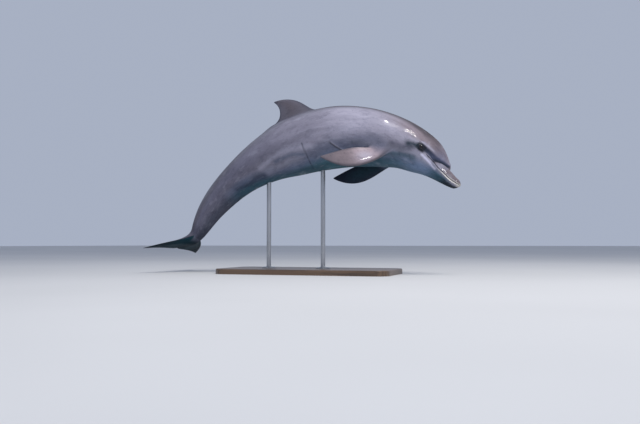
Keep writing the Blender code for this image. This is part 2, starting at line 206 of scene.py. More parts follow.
def turn(v, axis, a):
    axis = axis / np.linalg.norm(axis)
    return v * math.cos(a) + np.cross(axis, v) * math.sin(a) + axis * (axis @ v) * (1 - math.cos(a))


FLUKE_LEAD = ((.036, 0.0), (.043, .026), (.228, .062), (.374, .250))
FLUKE_TRAIL = ((.0, .185), (.03, .222), (.17, .185), (.374, .250))

def fluke_edge(u):
    """Outline of the flukes, u from 0 (right root) over .5 (notch) to 1 (left root): (right, back)."""
    u = np.asarray(u, float)
    m = np.where(u > .5, 1 - u, u) * 2
    lead = bezier(FLUKE_LEAD, np.clip(m / .5, 0, 1))
    trail = bezier(FLUKE_TRAIL, np.clip((1 - m) / .5, 0, 1))
    q = np.where((m < .5)[..., None], lead, trail)
    return q * np.stack([np.where(u > .5, -1, 1), np.ones_like(u)], -1)



EYE_R, EYE_OUT = .018, .0040

# ---------------------------------------------------------------- the skin's own detail
MOUTH = ((0, -.30), (.02, -.31), (.03, -.285), (.042, -.21), (.056, -.13), (.066, -.10), (.077, -.05), (.094, .06),
         (.115, .07), (.14, .09))
AROUND = 180
Q = AROUND // 4


def smooth(a, b, x):
    t = np.clip((np.asarray(x, float) - a) / (b - a), 0, 1)
    return t * t * (3 - 2 * t)


def bell(x, w):
    return np.exp(-(np.asarray(x, float) / w)**2)


def mouth_angle(s):
    """Angle of the mouth line on the right side, at each station."""
    s = np.asarray(s, float)
    h = pchip(MOUTH, s) * pchip(JAW, s, 2) * dome(s / .014)
    a = np.zeros_like(s)
    for _ in range(40):
        a = np.arcsin(np.clip(h / np.maximum(radius(s, a), 1e-5), -.9, .9))
    return a * np.clip((.22 - s) / .09, 0, 1)


def column_angle(s, j):
    """Angle of grid column j: closer together at the mouth line and the eyes, even further back."""
    s, j = np.broadcast_arrays(np.asarray(s, float), np.asarray(j, float))
    t = j / AROUND
    crowd = .52 * (1 - smooth(.19, .32, s))
    a = 2 * math.pi * t - crowd * .5 * np.sin(4 * math.pi * t)
    am = mouth_angle(s)
    return np.where(t <= .5, am + (math.pi - 2 * am) * a / math.pi,
                    math.pi - am + (math.pi + 2 * am) * (a - math.pi) / math.pi)


def above_mouth(s, a):
    """Signed arc distance above the mouth line, on either side."""
    am = mouth_angle(s)
    right = np.arctan2(np.sin(a - am), np.cos(a - am))
    left = np.arctan2(np.sin(math.pi - am - a), np.cos(math.pi - am - a))
    return np.where(np.cos(a) >= 0, right, left) * radius(s, a)


def elevation(a):
    """Angle above the side, the same on both sides."""
    return np.arctan2(np.sin(a), np.abs(np.cos(a)))


def crease(s, a):
    """How far a point is from the crease where the melon rises out of the beak."""
    c, z = np.cos(a), np.abs(np.sin(a))
    n = pchip(ROUND_TOP, s)
    sb = np.maximum(s, BACK[0][0] + 1e-4)
    front = dome((s - BACK[0][0]) / .02)
    beak = oval(pchip(JAW, s, 3), pchip(JAW, s, 1), n, c, z)
    melon = oval(pchip(BACK, sb, 2) * front + 1e-5, pchip(BACK, sb, 1) * front + 1e-5, n, c, z)
    away = np.abs(melon - beak) + 1.2 * np.maximum(BACK[0][0] + .004 - s, 0) * LENGTH
    return np.where(np.sin(a) > 0, away, 1.0)


def line(s, a, points, width):
    """1 on a line over the flank, through (station, degrees above the side), fading over its width in metres."""
    e, r = elevation(a), .16 + 0 * np.asarray(s, float)
    r = np.maximum(radius(s, a), .02)
    best = np.full(np.broadcast(s, a).shape, 1e3)
    for (s0, a0), (s1, a1) in zip(points, points[1:]):
        ux, uy = (s1 - s0) * LENGTH, np.radians(a1 - a0) * r
        px, py = (s - s0) * LENGTH, (e - math.radians(a0)) * r
        t = np.clip((px * ux + py * uy) / (ux * ux + uy * uy), 0, 1)
        best = np.minimum(best, np.hypot(px - t * ux, py - t * uy))
    return bell(best, width)


# folds where the flippers meet the chest, the crease of the bent flank, and wrinkles of the neck
ARMPIT = (((.346, -48), (.364, -40), (.380, -31)),)
FLANK_CREASE = ((.462, -20), (.460, -38), (.4575, -55), (.4605, -78))
THROAT = (((.150, -62), (.168, -48), (.178, -34)), ((.172, -66), (.189, -52), (.200, -39)), ((.128, -52), (.141, -41), (.150, -29)))
EAR = (.1600, 7.0)


def relief(s, a):
    """Height of the small forms over the smooth body."""
    s, a = np.broadcast_arrays(np.asarray(s, float), np.asarray(a, float))
    d = above_mouth(s, a)
    head = s < .2
    open_ = (1 - smooth(.106, .118, s)) * smooth(0, .004, s)
    out = -.0034 * bell(d, .0015 + .006 * np.clip(s, 0, .02)) * open_
    out = out + .0015 * bell(d - .0055, .0040) * open_ + .0020 * bell(d + .0060, .0048) * open_
    # the corner of the mouth turns up into a short fold
    out += .0034 * bell(d + .012, .008) * smooth(.072, .095, s) * (1 - smooth(.108, .126, s))
    out -= .0020 * bell(d - .0010 - (s - .112) * .30, .0032) * smooth(.104, .111, s) * (1 - smooth(.114, .124, s))
    out += .0018 * bell(d + .006 - (s - .112) * .30, .0050) * smooth(.106, .112, s) * (1 - smooth(.116, .132, s))
    # crease round the foot of the melon, with a low lip above it
    k = np.where(head, crease(s, np.where(head, a, 1.5)), 1.0)
    fade = smooth(.030, .040, s) * (1 - smooth(.088, .104, s))
    out -= .0036 * bell(k, .0052) * fade * (1 - .75 * smooth(.80, 1.0, np.sin(a)))
    # hollow in front of the eye, under the brow
    out -= .0016 * line(s, a, ((.122, 17), (.108, 19), (.094, 21)), .012) * np.where(head, 1, 0)
    for p in ARMPIT:
        out -= .0034 * line(s, a, p, .0065)
        out += .0030 * line(s + .0052, a + 0 * s, p, .0085) + .0018 * line(s - .0056, a, p, .0085)
    out -= .0020 * line(s, a, FLANK_CREASE, .0055)
    out += .0010 * line(s + .005, a, FLANK_CREASE, .0090)
    for p in THROAT:
        out -= .0012 * line(s, a, p, .0050)
    out -= .0007 * bell(np.hypot((s - EAR[0]) * LENGTH, (elevation(a) - math.radians(EAR[1])) * .135), .0034)
    # wide shallow muscle forms of the shoulder
    out += .0020 * bell(s - .245, .03) * bell(elevation(a) - math.radians(-8), .30)
    out -= .0012 * line(s, a, ((.190, 2), (.215, -12), (.235, -24)), .026)
    return out


# ---------------------------------------------------------------- one mesh, put together from grids and loops
class Weave:
    def __init__(self):
        self.points, self.faces, self.tags, self.count = [], [], [], 0

    def add(self, pts, s, a, part, t=0.0, c=0.0, side=0.0, near=0.0):
        """Points with their station, angle and part, for the markings."""
        pts = np.asarray(pts, float).reshape(-1, 3)
        n = len(pts)
        cols = [np.broadcast_to(np.asarray(v, float).reshape(-1) if np.ndim(v) else v, (n,)) for v in
                (s, a, part, t, c, side, near)]
        self.points.append(pts)
        self.tags.append(np.stack(cols, 1))
        first = self.count
        self.count += n
        return np.arange(first, first + n)

    def strip(self, rows, closed=True):
        rows = np.asarray(rows)
        n, m = rows.shape
        k = m if closed else m - 1
        j = np.arange(k)
        for i in range(n - 1):
            self.faces.append(np.stack([rows[i, j], rows[i, (j + 1) % m], rows[i + 1, (j + 1) % m], rows[i + 1, j]], 1))

    def fan(self, loop, middle):
        m = len(loop)
        j = np.arange(m)
        self.faces.append(np.stack([loop, loop[(j + 1) % m], np.full(m, middle), np.full(m, -1)], 1))


BODY, DORSAL, FLIP_R, FLIP_L, FLUKES, LID, SLIT = range(7)
w = Weave()


def spread(spans):
    """Stations with the given spacing, in metres along the body, over each span."""
    out = [spans[0][0]]
    for a, b, d0, d1 in spans:
        n = max(1, int(round((b - a) * LENGTH / ((d0 + d1) / 2))))
        u = (np.arange(1, n + 1)) / n
        k = (d1 - d0) / (d0 + d1)
        out += list(a + (b - a) * (u * (1 - k) + u * u * k))
    return np.array(out)


STATIONS = spread(((.00012, .0008, .0003, .0006), (.0008, .006, .0009, .0015), (.006, .02, .0016, .0024),
                   (.02, .150, .0027, .0027), (.150, .20, .0028, .0062), (.20, .32, .0062, .0066), (.32, .925, .0091, .0091)))
NS = len(STATIONS)
cols = np.arange(AROUND)
grid_s = np.repeat(STATIONS[:, None], AROUND, 1)
grid_a = column_angle(grid_s, cols[None])
grid_p = skin(grid_s, grid_a, relief(grid_s, grid_a))
grid = w.add(grid_p, grid_s.ravel(), grid_a.ravel(), BODY).reshape(NS, AROUND)
pole = w.add(frame_at(0.0)[0][None] - .0003 * frame_at(0.0)[1][None], 0.0, 0.0, BODY)[0]
holes = np.zeros((NS - 1, AROUND), bool)
base_tags = []


def row_of(s):
    return int(np.abs(STATIONS - s).argmin())


def edge(i0, i1, j0, j1):
    """Grid vertices round a block, from the middle of its front edge."""
    i0, i1 = sorted((i0, i1))
    jm = (j0 + j1) // 2
    pts = [(i0, j) for j in range(jm, j1)] + [(i, j1) for i in range(i0, i1)] + [(i1, j) for j in range(j1, j0, -1)] \
        + [(i, j0) for i in range(i1, i0, -1)] + [(i0, j) for j in range(j0, jm)]
    holes[i0:i1, [j % AROUND for j in range(j0, j1)]] = True
    return np.array([p[0] for p in pts]), np.array([p[1] % AROUND for p in pts])


def share(p):
    """Distance along a closed chain of points, from 0 to 1."""
    d = np.linalg.norm(np.roll(p, -1, 0) - p, axis=1)
    return np.concatenate([[0], np.cumsum(d)[:-1]]) / d.sum()


def unit(v):
    return v / np.maximum(np.linalg.norm(v, axis=-1, keepdims=True), 1e-9)


def normal_at(s, a):
    e = 1e-3
    return unit(np.cross(skin(s + e, a) - skin(s - e, a), skin(s, a + e) - skin(s, a - e)))


class Fin:
    """A blade between two edges that meet in a rounded tip; t runs from the root to the tip, c across the chord."""

    def __init__(self, root, back, plane, lead, trail, thick, tip):
        self.root, self.back, self.plane, self.n, self.thick = root, back, plane, np.cross(back, plane), thick
        t = 1 - (1 - np.linspace(0, 1, 600))**1.5
        chain = np.vstack([bezier(lead, t), bezier(trail, t[::-1])[1:]])
        step = np.linalg.norm(np.diff(chain, axis=0), axis=1)
        at = np.concatenate([[0], np.cumsum(step)])
        apex = at[len(t) - 1]
        # even the chain out, then round it off near the tip
        even = np.linspace(0, at[-1], 2400)
        even_p = np.stack([np.interp(even, at, chain[:, k]) for k in (0, 1)], 1)
        g = np.exp(-(np.arange(-200, 201) * (even[1] - even[0]) / tip)**2)
        g /= g.sum()
        soft = np.stack([np.convolve(np.pad(even_p[:, k], 200, mode="edge"), g, "valid") for k in (0, 1)], 1)
        m = bell(even - apex, 3.2 * tip)[:, None]
        soft = even_p * (1 - m) + soft * m
        soft_chain = np.stack([np.interp(at, even, soft[:, k]) for k in (0, 1)], 1)
        self.t, n = t, len(t)
        self.le, self.te = soft_chain[:n], soft_chain[n - 1:][::-1]

    def at(self, t, c, sign):
        t = float(min(max(t, 0), 1))
        le, te = (np.array([np.interp(t, self.t, e[:, k]) for k in (0, 1)]) for e in (self.le, self.te))
        chord = np.linalg.norm(te - le)
        th = self.thick[0] * (1 - t) + self.thick[1] * t
        th = th * math.tanh(.42 * chord / th)
        p = le + (te - le) * c[:, None]
        z = sign * foil(c) * th / 2 * np.where((c < 1e-6) | (c > 1 - 1e-6), 0, 1)
        return self.root + p[:, :1] * self.back + p[:, 1:2] * self.plane + z[:, None] * self.n


def attach(i0, i1, j0, j1, blade, part, side, rows, t0, blend=10, reach=(1.0, 1.0)):
    """Fin grown out of a block of the body: a fillet, then its own rows, then its rounded tip."""
    ii, jj = edge(i0, i1, j0, j1)
    base = grid[ii, jj]
    B = grid_p[ii, jj]
    fr = share(B)
    tt = np.where(fr <= .5, fr * 2, (1 - fr) * 2)
    sign = np.where(fr <= .5, 1.0, -1.0)
    c = (1 - np.cos(math.pi * tt)) / 2
    sa, aa = grid_s[ii, jj], grid_a[ii, jj]
    nrm = normal_at(sa, aa)
    F = blade.at(t0, c, sign)
    G = unit(blade.at(t0 + .02, c, sign) - F)
    gap = F - B
    rise = (gap * nrm).sum(1, keepdims=True)
    level = gap - rise * nrm
    flat = np.linalg.norm(level, axis=1, keepdims=True)
    D = unit(level) * (flat * reach[0] * 1.3)
    E = G * (np.abs(rise) * reach[1] * 1.3 + .004)
    loops = [base]
    base_tags.append((base, c, sign * side))
    for k in range(1, blend):
        u = k / blend
        P = ((2 * u**3 - 3 * u**2 + 1) * B + (u**3 - 2 * u**2 + u) * D + (3 * u**2 - 2 * u**3) * F + (u**3 - u**2) * E)
        loops.append(w.add(P, sa, aa, part, t0 * u, c, sign * side, near=1.0))
    for k in range(rows):
        u = k / (rows - 1)
        t = t0 + (.9985 - t0) * (1 - (1 - u)**1.6)
        loops.append(w.add(blade.at(t, c, sign), sa, aa, part, t, c, sign * side, near=max(0.0, 1 - u / .16)))
    w.strip(np.array(loops))
    end = blade.at(1.0, np.array([.5]), np.array([0.0]))
    w.fan(loops[-1], w.add(end, float(sa.mean()), float(aa.mean()), part, 1.0, .5, 0.0)[0])


# dorsal fin
p, f, r, u = frame_at(DORSAL_S)
attach(row_of(.414), row_of(.592), Q - 6, Q + 6,
       Fin(skin(DORSAL_S, math.pi / 2) - DORSAL_SINK * u, -f, u, DORSAL_LEAD, DORSAL_TRAIL, DORSAL_THICK, .014),
       DORSAL, 1, 32, .19)

# flippers
for side, part in ((1, FLIP_R), (-1, FLIP_L)):
    p, f, r, u = frame_at(FLIP_S)
    drop, pitch, yaw = (math.radians(v) for v in FLIP_SET[side])
    plane = math.cos(drop) * r * side - math.sin(drop) * u
    back = -f
    n = np.cross(back, plane)
    back, plane = turn(back, n, yaw), turn(plane, n, yaw)
    back = turn(back, plane, pitch * side)
    ang = -math.radians(FLIP_ANGLE)
    root = skin(FLIP_S, ang if side == 1 else math.pi - ang)
    a_mid = ang + .03
    j = int(round(AROUND * ((a_mid if side == 1 else math.pi - a_mid) % (2 * math.pi)) / (2 * math.pi)))
    attach(row_of(.197), row_of(.262), j - 5, j + 5,
           Fin(root, back, plane, FLIP_LEAD, FLIP_TRAIL, FLIP_THICK, .015), part, side, 34, .13)


# ---------------------------------------------------------------- eyelids
def eye_seat(side):
    a = EYE_A if side == 1 else math.pi - EYE_A
    at, near, over = skin(EYE_S, a), skin(EYE_S + .004, a), skin(EYE_S, a + .02)
    n = np.cross(near - at, over - at)
    n /= np.linalg.norm(n)
    if n @ (at - frame_at(EYE_S)[0]) < 0:
        n = -n
    return at - n * (EYE_R - EYE_OUT), n


LID_W, LID_UP, LID_LOW, LID_THICK, LID_TILT = .0142, .0086, .0070, .0011, math.radians(-4)


def lid_edge(phi):
    """Outline of the open eye, in metres forward and up: a leaf with its front corner drawn out."""
    x, y = np.cos(phi), np.sin(phi)
    half = np.where(y >= 0, LID_UP, LID_LOW)
    px = LID_W * x * (1 + .10 * np.maximum(x, 0)**6)
    py = half * np.sign(y) * np.abs(y)**1.25 * (1 - .10 * x)
    c, s = math.cos(LID_TILT), math.sin(LID_TILT)
    return px * c - py * s, px * s + py * c


def eyelids(side):
    centre, n = eye_seat(side)
    a_e = EYE_A if side == 1 else math.pi - EYE_A
    r_e = float(radius(EYE_S, a_e))
    i0, i1 = row_of(EYE_S - .0122), row_of(EYE_S + .0122)
    near = np.abs(np.arctan2(np.sin(grid_a[row_of(EYE_S)] - a_e), np.cos(grid_a[row_of(EYE_S)] - a_e)))
    j = int(near.argmin())
    ii, jj = edge(i0, i1, j - 11, j + 11)
    base = grid[ii, jj]
    sa = grid_s[ii, jj]
    da = np.arctan2(np.sin(grid_a[ii, jj] - a_e), np.cos(grid_a[ii, jj] - a_e))
    X, Y = -(sa - EYE_S) * LENGTH, side * da * r_e
    c, s_ = math.cos(-LID_TILT), math.sin(-LID_TILT)
    phi = np.arctan2((X * s_ + Y * c) / .8, X * c - Y * s_)
    ex, ey = lid_edge(phi)
    loops = [base]
    far = np.hypot(X - ex, Y - ey)
    dx, dy = (X - ex) / far, (Y - ey) / far
    inner = (.0120, .0104, .0090, .0077, .0066, .0056, .0047, .0038, .0029, .0020, .0011, .0004, 0.0)
    steps = [inner[0] + (far - inner[0]) * q for q in (.86, .70, .54, .38, .24, .11)] + [d + 0 * far for d in inner]
    rim = None
    for dist in steps:                           # distance from the lid's edge
        x, y = ex + dx * dist, ey + dy * dist
        s, a = EYE_S - x / LENGTH, a_e + side * y / r_e
        upper = .5 + .5 * np.sin(phi)
        fold = (-.0006 - .0006 * upper) * bell(dist - .0056, .0012) - .0005 * bell(dist - .0090, .0013)
        fold = fold + .0004 * bell(dist - .0030, .0018) + .0003 * bell(dist - .0074, .0012)
        P = skin(s, a, relief(s, a))
        d = P - centre
        ro = np.linalg.norm(d, axis=1)
        ro = smooth_max(ro, np.full_like(ro, EYE_R + LID_THICK), .0060) + fold
        P = centre + d / np.linalg.norm(d, axis=1, keepdims=True) * ro[:, None]
        rim = unit(P - centre)
        loops.append(w.add(P, s, a, LID, t=dist, c=phi, side=side))
    # rounded edge of the lid, then a pocket close behind the ball
    fit = np.full(len(rim), EYE_R + LID_THICK)
    ring_r = np.linalg.norm(w.points[-1] - centre, axis=1)
    for q, fall in ((.3, .2), (.7, .6), (1.0, 1.0)):
        direction = unit(rim - .050 * q * unit(rim - (rim @ n)[:, None] * n))
        rr = ring_r * (1 - fall) + (EYE_R + .0004) * fall
        loops.append(w.add(centre + direction * rr[:, None], s, a, LID, t=-.001 * (1 + q), c=phi, side=side))
    first = direction
    for q in (.12, .28, .46, .64, .82, .94):
        direction = unit(first * (1 - q) - n * q * 1.0 + .6 * q * (1 - q) * unit(first - (first @ n)[:, None] * n))
        loops.append(w.add(centre + direction * (EYE_R + .0004), s, a, LID, t=-.004, c=phi, side=side))
    w.strip(np.array(loops))
    w.fan(loops[-1], w.add(centre - n * (EYE_R + .0004), EYE_S, a_e, LID, t=-.004, side=side)[0])
    return centre, n


eyes = {side: eyelids(side) for side in (1, -1)}


# ---------------------------------------------------------------- blowhole, navel and slits
def slit(s0, a0, rows, columns, curve, lips, depth, K=8):
    """Closed slit in a block of the skin.  curve(phi, open) gives metres forward and to the right (or up)."""
    i, r0 = row_of(s0), float(radius(s0, a0))
    j = int(np.abs(np.arctan2(np.sin(grid_a[i] - a0), np.cos(grid_a[i] - a0))).argmin())
    ii, jj = edge(i - rows, i + rows, j - columns, j + columns)
    base = grid[ii, jj]
    sa = grid_s[ii, jj]
    da = np.arctan2(np.sin(grid_a[ii, jj] - a0), np.cos(grid_a[ii, jj] - a0))
    X, Y = -(sa - s0) * LENGTH, da * r0
    n = len(base)
    phi = 2 * math.pi * np.arange(n) / n
    ex, ey = curve(phi, 1.0)
    loops = [base]
    for k in range(1, K + 1):
        v = 1 - (k / K)**.8
        x, y = ex + (X - ex) * v, ey + (Y - ey) * v
        s, a = s0 - x / LENGTH, a0 + y / r0
        dist = np.hypot(x - ex, y - ey)
        h = relief(s, a) + lips(phi, dist)
        loops.append(w.add(skin(s, a, h), s, a, SLIT, t=dist, near=0.0))
    for q in (.35, .7, 1.0):
        x, y = curve(phi, 1 - q)
        s, a = s0 - x / LENGTH, a0 + y / r0
        h = relief(s, a) + lips(phi, 0 * phi) * (1 - q) - depth * q
        loops.append(w.add(skin(s, a, h), s, a, SLIT, t=-.001 * q))
    w.strip(np.array(loops))


def crescent(phi, wide):
    y = .0175 * np.sin(phi)
    return y * y / .036 - .003 + .0012 * wide * np.cos(phi), y


def along(half):
    return lambda phi, wide: (half * np.cos(phi), .0011 * wide * np.sin(phi))


BLOW_S = .1430
slit(BLOW_S, math.pi / 2, 11, 4, crescent,
     lambda phi, d: .0024 * bell(d - .0045, .0050) + .0012 * np.where(np.cos(phi) > 0, 1, 0) * bell(d - .002, .004)
     - .0010 * bell(d - .0160, .0050), .0060, K=11)
slit(.505, -math.pi / 2, 3, 3, along(.009), lambda phi, d: .0010 * bell(d - .006, .006) - .0020 * bell(d, .004), .0030)
slit(.703, -math.pi / 2, 9, 3, along(.058), lambda phi, d: .0026 * bell(d - .006, .006) - .0010 * bell(d, .002), .0060)
slit(.752, -math.pi / 2, 3, 3, along(.011), lambda phi, d: .0022 * bell(d - .005, .005) - .0012 * bell(d, .003), .0050)


# flukes: the last ring opens out to the outline, over and under
NV = 34
half_cols = AROUND // 2
last_s = STATIONS[-1]


def fluke_u(n):
    """Outline parameter of each column, closer together at the tips and the notch."""
    k = np.arange(n + 1) / n
    q = np.where(k > .5, 1 - k, k) * 4          # 0 root .. 1 tip .. 2 notch
    lead = np.clip(q, 0, 1)
    trail = np.clip(q - 1, 0, 1)
    m = np.where(q <= 1, lead + .35 * lead * (1 - lead), 1 + trail - .35 * trail * (1 - trail)) / 4
    return np.where(k > .5, 1 - m, m)


def fluke_grid(side, ring_a):
    e = fluke_edge(fluke_u(half_cols))
    rr = radius(FLUKE_S, ring_a)
    y0, z0 = rr * np.cos(ring_a), rr * np.sin(ring_a)
    v = (1 - (1 - np.linspace(0, 1, NV))**1.25)[:, None]
    y = y0 + (e[:, 0] - y0) * v**1.25
    x = e[:, 1] * v
    z = z0 * (1 - v)**3 * (1 + 2.0 * v)
    reach = np.hypot(e[:, 0] - y0, e[:, 1])
    plump = FLUKE_THICK * np.clip(reach / .10, 0, 1)**.5 * (1 - .45 * np.clip(np.abs(e[:, 0]) / FLUKE_LEAD[3][0], 0, 1))
    z = z + side * plump * np.sqrt(np.clip(1 - v, 0, 1)) * (1 - (1 - v)**3)
    s = FLUKE_S + x / LENGTH
    p, f, r, uu = frame_at(s)
    return p + y[..., None] * r + z[..., None] * uu, s, np.broadcast_to(v, s.shape), y


top_j = np.arange(half_cols + 1)
low_j = (-np.arange(half_cols + 1)) % AROUND
last_a = grid_a[-1]
tp, ts, tv, ty = fluke_grid(1, last_a[top_j])
lp, ls, lv, ly = fluke_grid(-1, np.where(last_a[low_j] > math.pi, last_a[low_j] - 2 * math.pi, -last_a[low_j]))
rim = w.add(tp[-1], ts[-1], 0.5, FLUKES, tv[-1], ty[-1], 0)
ends = (rim[0], rim[-1])
rows_top, rows_low = [grid[-1][top_j]], [grid[-1][low_j]]
for k in range(1, NV - 1):
    a = w.add(tp[k], ts[k], math.pi / 2, FLUKES, tv[k], ty[k], 1)
    b = w.add(lp[k], ls[k], -math.pi / 2, FLUKES, lv[k], ly[k], -1)
    rows_top.append(a)
    rows_low.append(b)
rows_top.append(rim)
rows_low.append(rim)
w.strip(np.array(rows_top), closed=False)
w.strip(np.array(rows_low)[:, ::-1], closed=False)

# grid faces with the holes left out
i, j = np.nonzero(~holes)
jn = (j + 1) % AROUND
body_faces = np.stack([grid[i, j], grid[i, jn], grid[i + 1, jn], grid[i + 1, j]], 1)
w.faces.append(body_faces)
w.fan(grid[0], pole)

# ---------------------------------------------------------------- finish the skin
pts = np.concatenate(w.points)
tags = np.concatenate(w.tags)
faces = np.concatenate(w.faces)
for base, c, sd in base_tags:
    tags[base, 4], tags[base, 5] = c, sd
used = np.zeros(len(pts), bool)
used[faces[faces >= 0]] = True
new = np.cumsum(used) - 1
pts, tags = pts[used], tags[used]
faces = np.where(faces >= 0, new[np.maximum(faces, 0)], -1)
mesh = bpy.data.meshes.new("dolphin_skin")
mesh.from_pydata(pts.tolist(), [], [f[:3].tolist() if f[3] < 0 else f.tolist() for f in faces])
mesh.update()
bm = bmesh.new()
bm.from_mesh(mesh)
lay = bm.verts.layers.int.new("row")
for k, v in enumerate(bm.verts):
    v[lay] = k
joined = (tags[:, 2] == FLUKES) | (tags[:, 2] == SLIT) | (tags[:, 0] > .92)
bmesh.ops.remove_doubles(bm, verts=[v for v in bm.verts if joined[v[lay]]], dist=2e-6)
bmesh.ops.recalc_face_normals(bm, faces=bm.faces)
rows = np.array([v[lay] for v in bm.verts])
open_edges = sum(1 for e in bm.edges if len(e.link_faces) != 2)
if bm.calc_volume(signed=True) < 0:
    bmesh.ops.reverse_faces(bm, faces=bm.faces)
bm.verts.layers.int.remove(lay)
bm.to_mesh(mesh)
bm.free()
tags = tags[rows]
S, A, PART, T, C, SD, NEAR = tags.T

# soften the fillets of the fins and the root of the flukes
co = np.empty(len(mesh.vertices) * 3)
mesh.vertices.foreach_get("co", co)
co = co.reshape(-1, 3)
ends = np.empty(len(mesh.edges) * 2, int)
mesh.edges.foreach_get("vertices", ends)
ends = ends.reshape(-1, 2)
many = np.bincount(ends.ravel(), minlength=len(co)).astype(float)


def around(v):
    """Mean of each vertex's neighbours."""
    out = np.zeros_like(v)
    for k in range(v.shape[1]):
        out[:, k] = np.bincount(ends[:, 0], v[ends[:, 1], k], len(co)) + np.bincount(ends[:, 1], v[ends[:, 0], k], len(co))
    return out / many[:, None]


def spread_weight(weight, steps, keep):
    weight = weight.copy()
    for _ in range(steps):
        far = np.zeros_like(weight)
        np.maximum.at(far, ends[:, 0], weight[ends[:, 1]])
        np.maximum.at(far, ends[:, 1], weight[ends[:, 0]])
        weight = np.maximum(weight, far * keep)
    return weight


fin_weight = spread_weight(NEAR * (PART != FLUKES), 5, .78)[:, None]
for _ in range(26):
    co += fin_weight * .5 * (around(co) - co)
corner_at = [skin(FLUKE_S, a) for a in (0.0, math.pi)]
nearest = np.min([np.linalg.norm(co - c0, axis=1) for c0 in corner_at], 0)
hub = (bell(nearest, .030) * ((PART == FLUKES) | (S > .88)))[:, None]
for _ in range(30):
    co += hub * .5 * (around(co) - co)
# the dorsal fin's hind edge runs out along the back
behind = np.linalg.norm(co - skin(DORSAL_S + .120, math.pi / 2), axis=1)
heel = (bell(behind, .042) * ((PART == DORSAL) | (PART == BODY)))[:, None]
co += .020 * (bell(behind, .062) * ((PART == DORSAL) | (PART == BODY)))[:, None] * frame_at(DORSAL_S + .116)[3]
for _ in range(60):
    co += heel * .5 * (around(co) - co)
tail_near = np.where(PART == FLUKES, 1 - smooth(.12, .38, T), smooth(.900, .922, S) * (PART == BODY))
tail_near = spread_weight(tail_near, 1, .8)[:, None]
for _ in range(16):
    co += tail_near * .5 * (around(co) - co)
    co -= tail_near * .47 * (around(co) - co)
mesh.vertices.foreach_set("co", co.ravel())
mesh.update()
mesh.calc_loop_triangles()
print("skin: triangles", len(mesh.loop_triangles), "open edges", open_edges)
body = bpy.data.objects.new("dolphin_skin", mesh)
bpy.context.scene.collection.objects.link(body)
mesh.shade_smooth()
FLESH = ("beak_upper", "lower_jaw", "melon", "head", "trunk_front", "trunk_middle", "trunk_rear", "tail_stock",
         "fluke_right", "fluke_left", "dorsal_fin", "flipper_right", "flipper_left")
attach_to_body(body, "root")
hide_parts(*FLESH)
# ---------------------------------------------------------------- markings, worked out for every point of the skin
def rgb(r, g, b):
    v = np.array([r, g, b]) / 255
    return np.where(v <= .04045, v / 12.92, ((v + .055) / 1.055)**2.4)


GREY, TAIL, CAPE, BROWN = rgb(146, 142, 157), rgb(106, 104, 121), rgb(98, 93, 104), rgb(122, 110, 116)
SLATE, TEAL, INK, NIGHT = rgb(92, 107, 134), rgb(57, 92, 107), rgb(36, 43, 60), rgb(14, 18, 28)
PALE, CREAM, TAN, FIN_GREY = rgb(176, 174, 192), rgb(214, 208, 200), rgb(162, 145, 151), rgb(94, 91, 102)

E = np.degrees(elevation(A))
up = above_mouth(S, A)
SIDE_EYE = math.degrees(EYE_A)


def curve_of(table, x):
    return np.interp(x, [p[0] for p in table], [p[1] for p in table])


def lay(paint, colour, mask):
    m = np.clip(mask, 0, 1)[:, None]
    return paint * (1 - m) + np.asarray(colour) * m


def mark(points, width):
    return line(S, A, points, width)


BELLY_LINE = ((0, -22), (.05, -26), (.09, -36), (.12, -46), (.16, -48), (.21, -54), (.30, -52), (.38, -52), (.46, -60),
              (.55, -66), (.62, -62), (.70, -50), (.80, -46), (.925, -40))
back_edge = 58 - 14 * smooth(.40, .75, S)
paint = np.repeat(GREY[None], len(S), 0)
# pale upper flank round the shoulder: a paler tone of the skin, brightened further as painted sheen
paint = lay(paint, PALE, .60 * bell(S - .27, .15) * bell(E - 20, 30))
paint = lay(paint, TAIL, smooth(.33, .74, S))
# cape over the back, browner at the front and on the melon, darkest along the ridge, where the cape's own dark tone is
# deepened by a painted dark reflection
paint = lay(paint, CAPE, .88 * smooth(back_edge - 26, back_edge + 12, E) * smooth(.10, .24, S))
paint = lay(paint, BROWN, .90 * smooth(4, 34, E) * (1 - smooth(.16, .30, S)) * smooth(.05, .075, S))
paint = lay(paint, rgb(114, 124, 158), .66 * bell(E - 32, 32) * bell(S - .074, .024))
paint = lay(paint, INK * 1.5, .40 * smooth(58, 84, E) * smooth(.06, .12, S))
paint = lay(paint, INK * 1.35, .55 * smooth(38, 66, E) * smooth(.13, .20, S) * (1 - smooth(.78, .90, S)))
paint = lay(paint, BROWN * .26, .80 * smooth(40, 62, E) * smooth(.085, .15, S) * (1 - smooth(.36, .48, S)))
paint = lay(paint, TAIL, .22 * bell(S - .43, .07))
# painted light: the mid flank behind the shoulder brightened where the light falls on it
paint = lay(paint, PALE, .62 * bell(S - .330, .060) * bell(E + 14, 15))
# flank below: painted shade, slate towards the belly, then teal, with a greener painted reflection of water under the
# chest and darker shade under the tail stock
low = E - curve_of(BELLY_LINE, S)
stock = smooth(.70, .80, S)
paint = lay(paint, SLATE, .80 * (1 - smooth(2, 34, low)) * smooth(.02, .10, S) * (1 - .75 * stock))
paint = lay(paint, TEAL, .90 * (1 - smooth(-18, 7, low)) * smooth(.012, .05, S) * (1 - .72 * stock))
paint = lay(paint, rgb(70, 68, 78), .55 * stock * (1 - smooth(-4, 30, low)))
paint = lay(paint, rgb(74, 118, 130), .42 * bell(S - .38, .075) * (1 - smooth(-16, 8, low)))
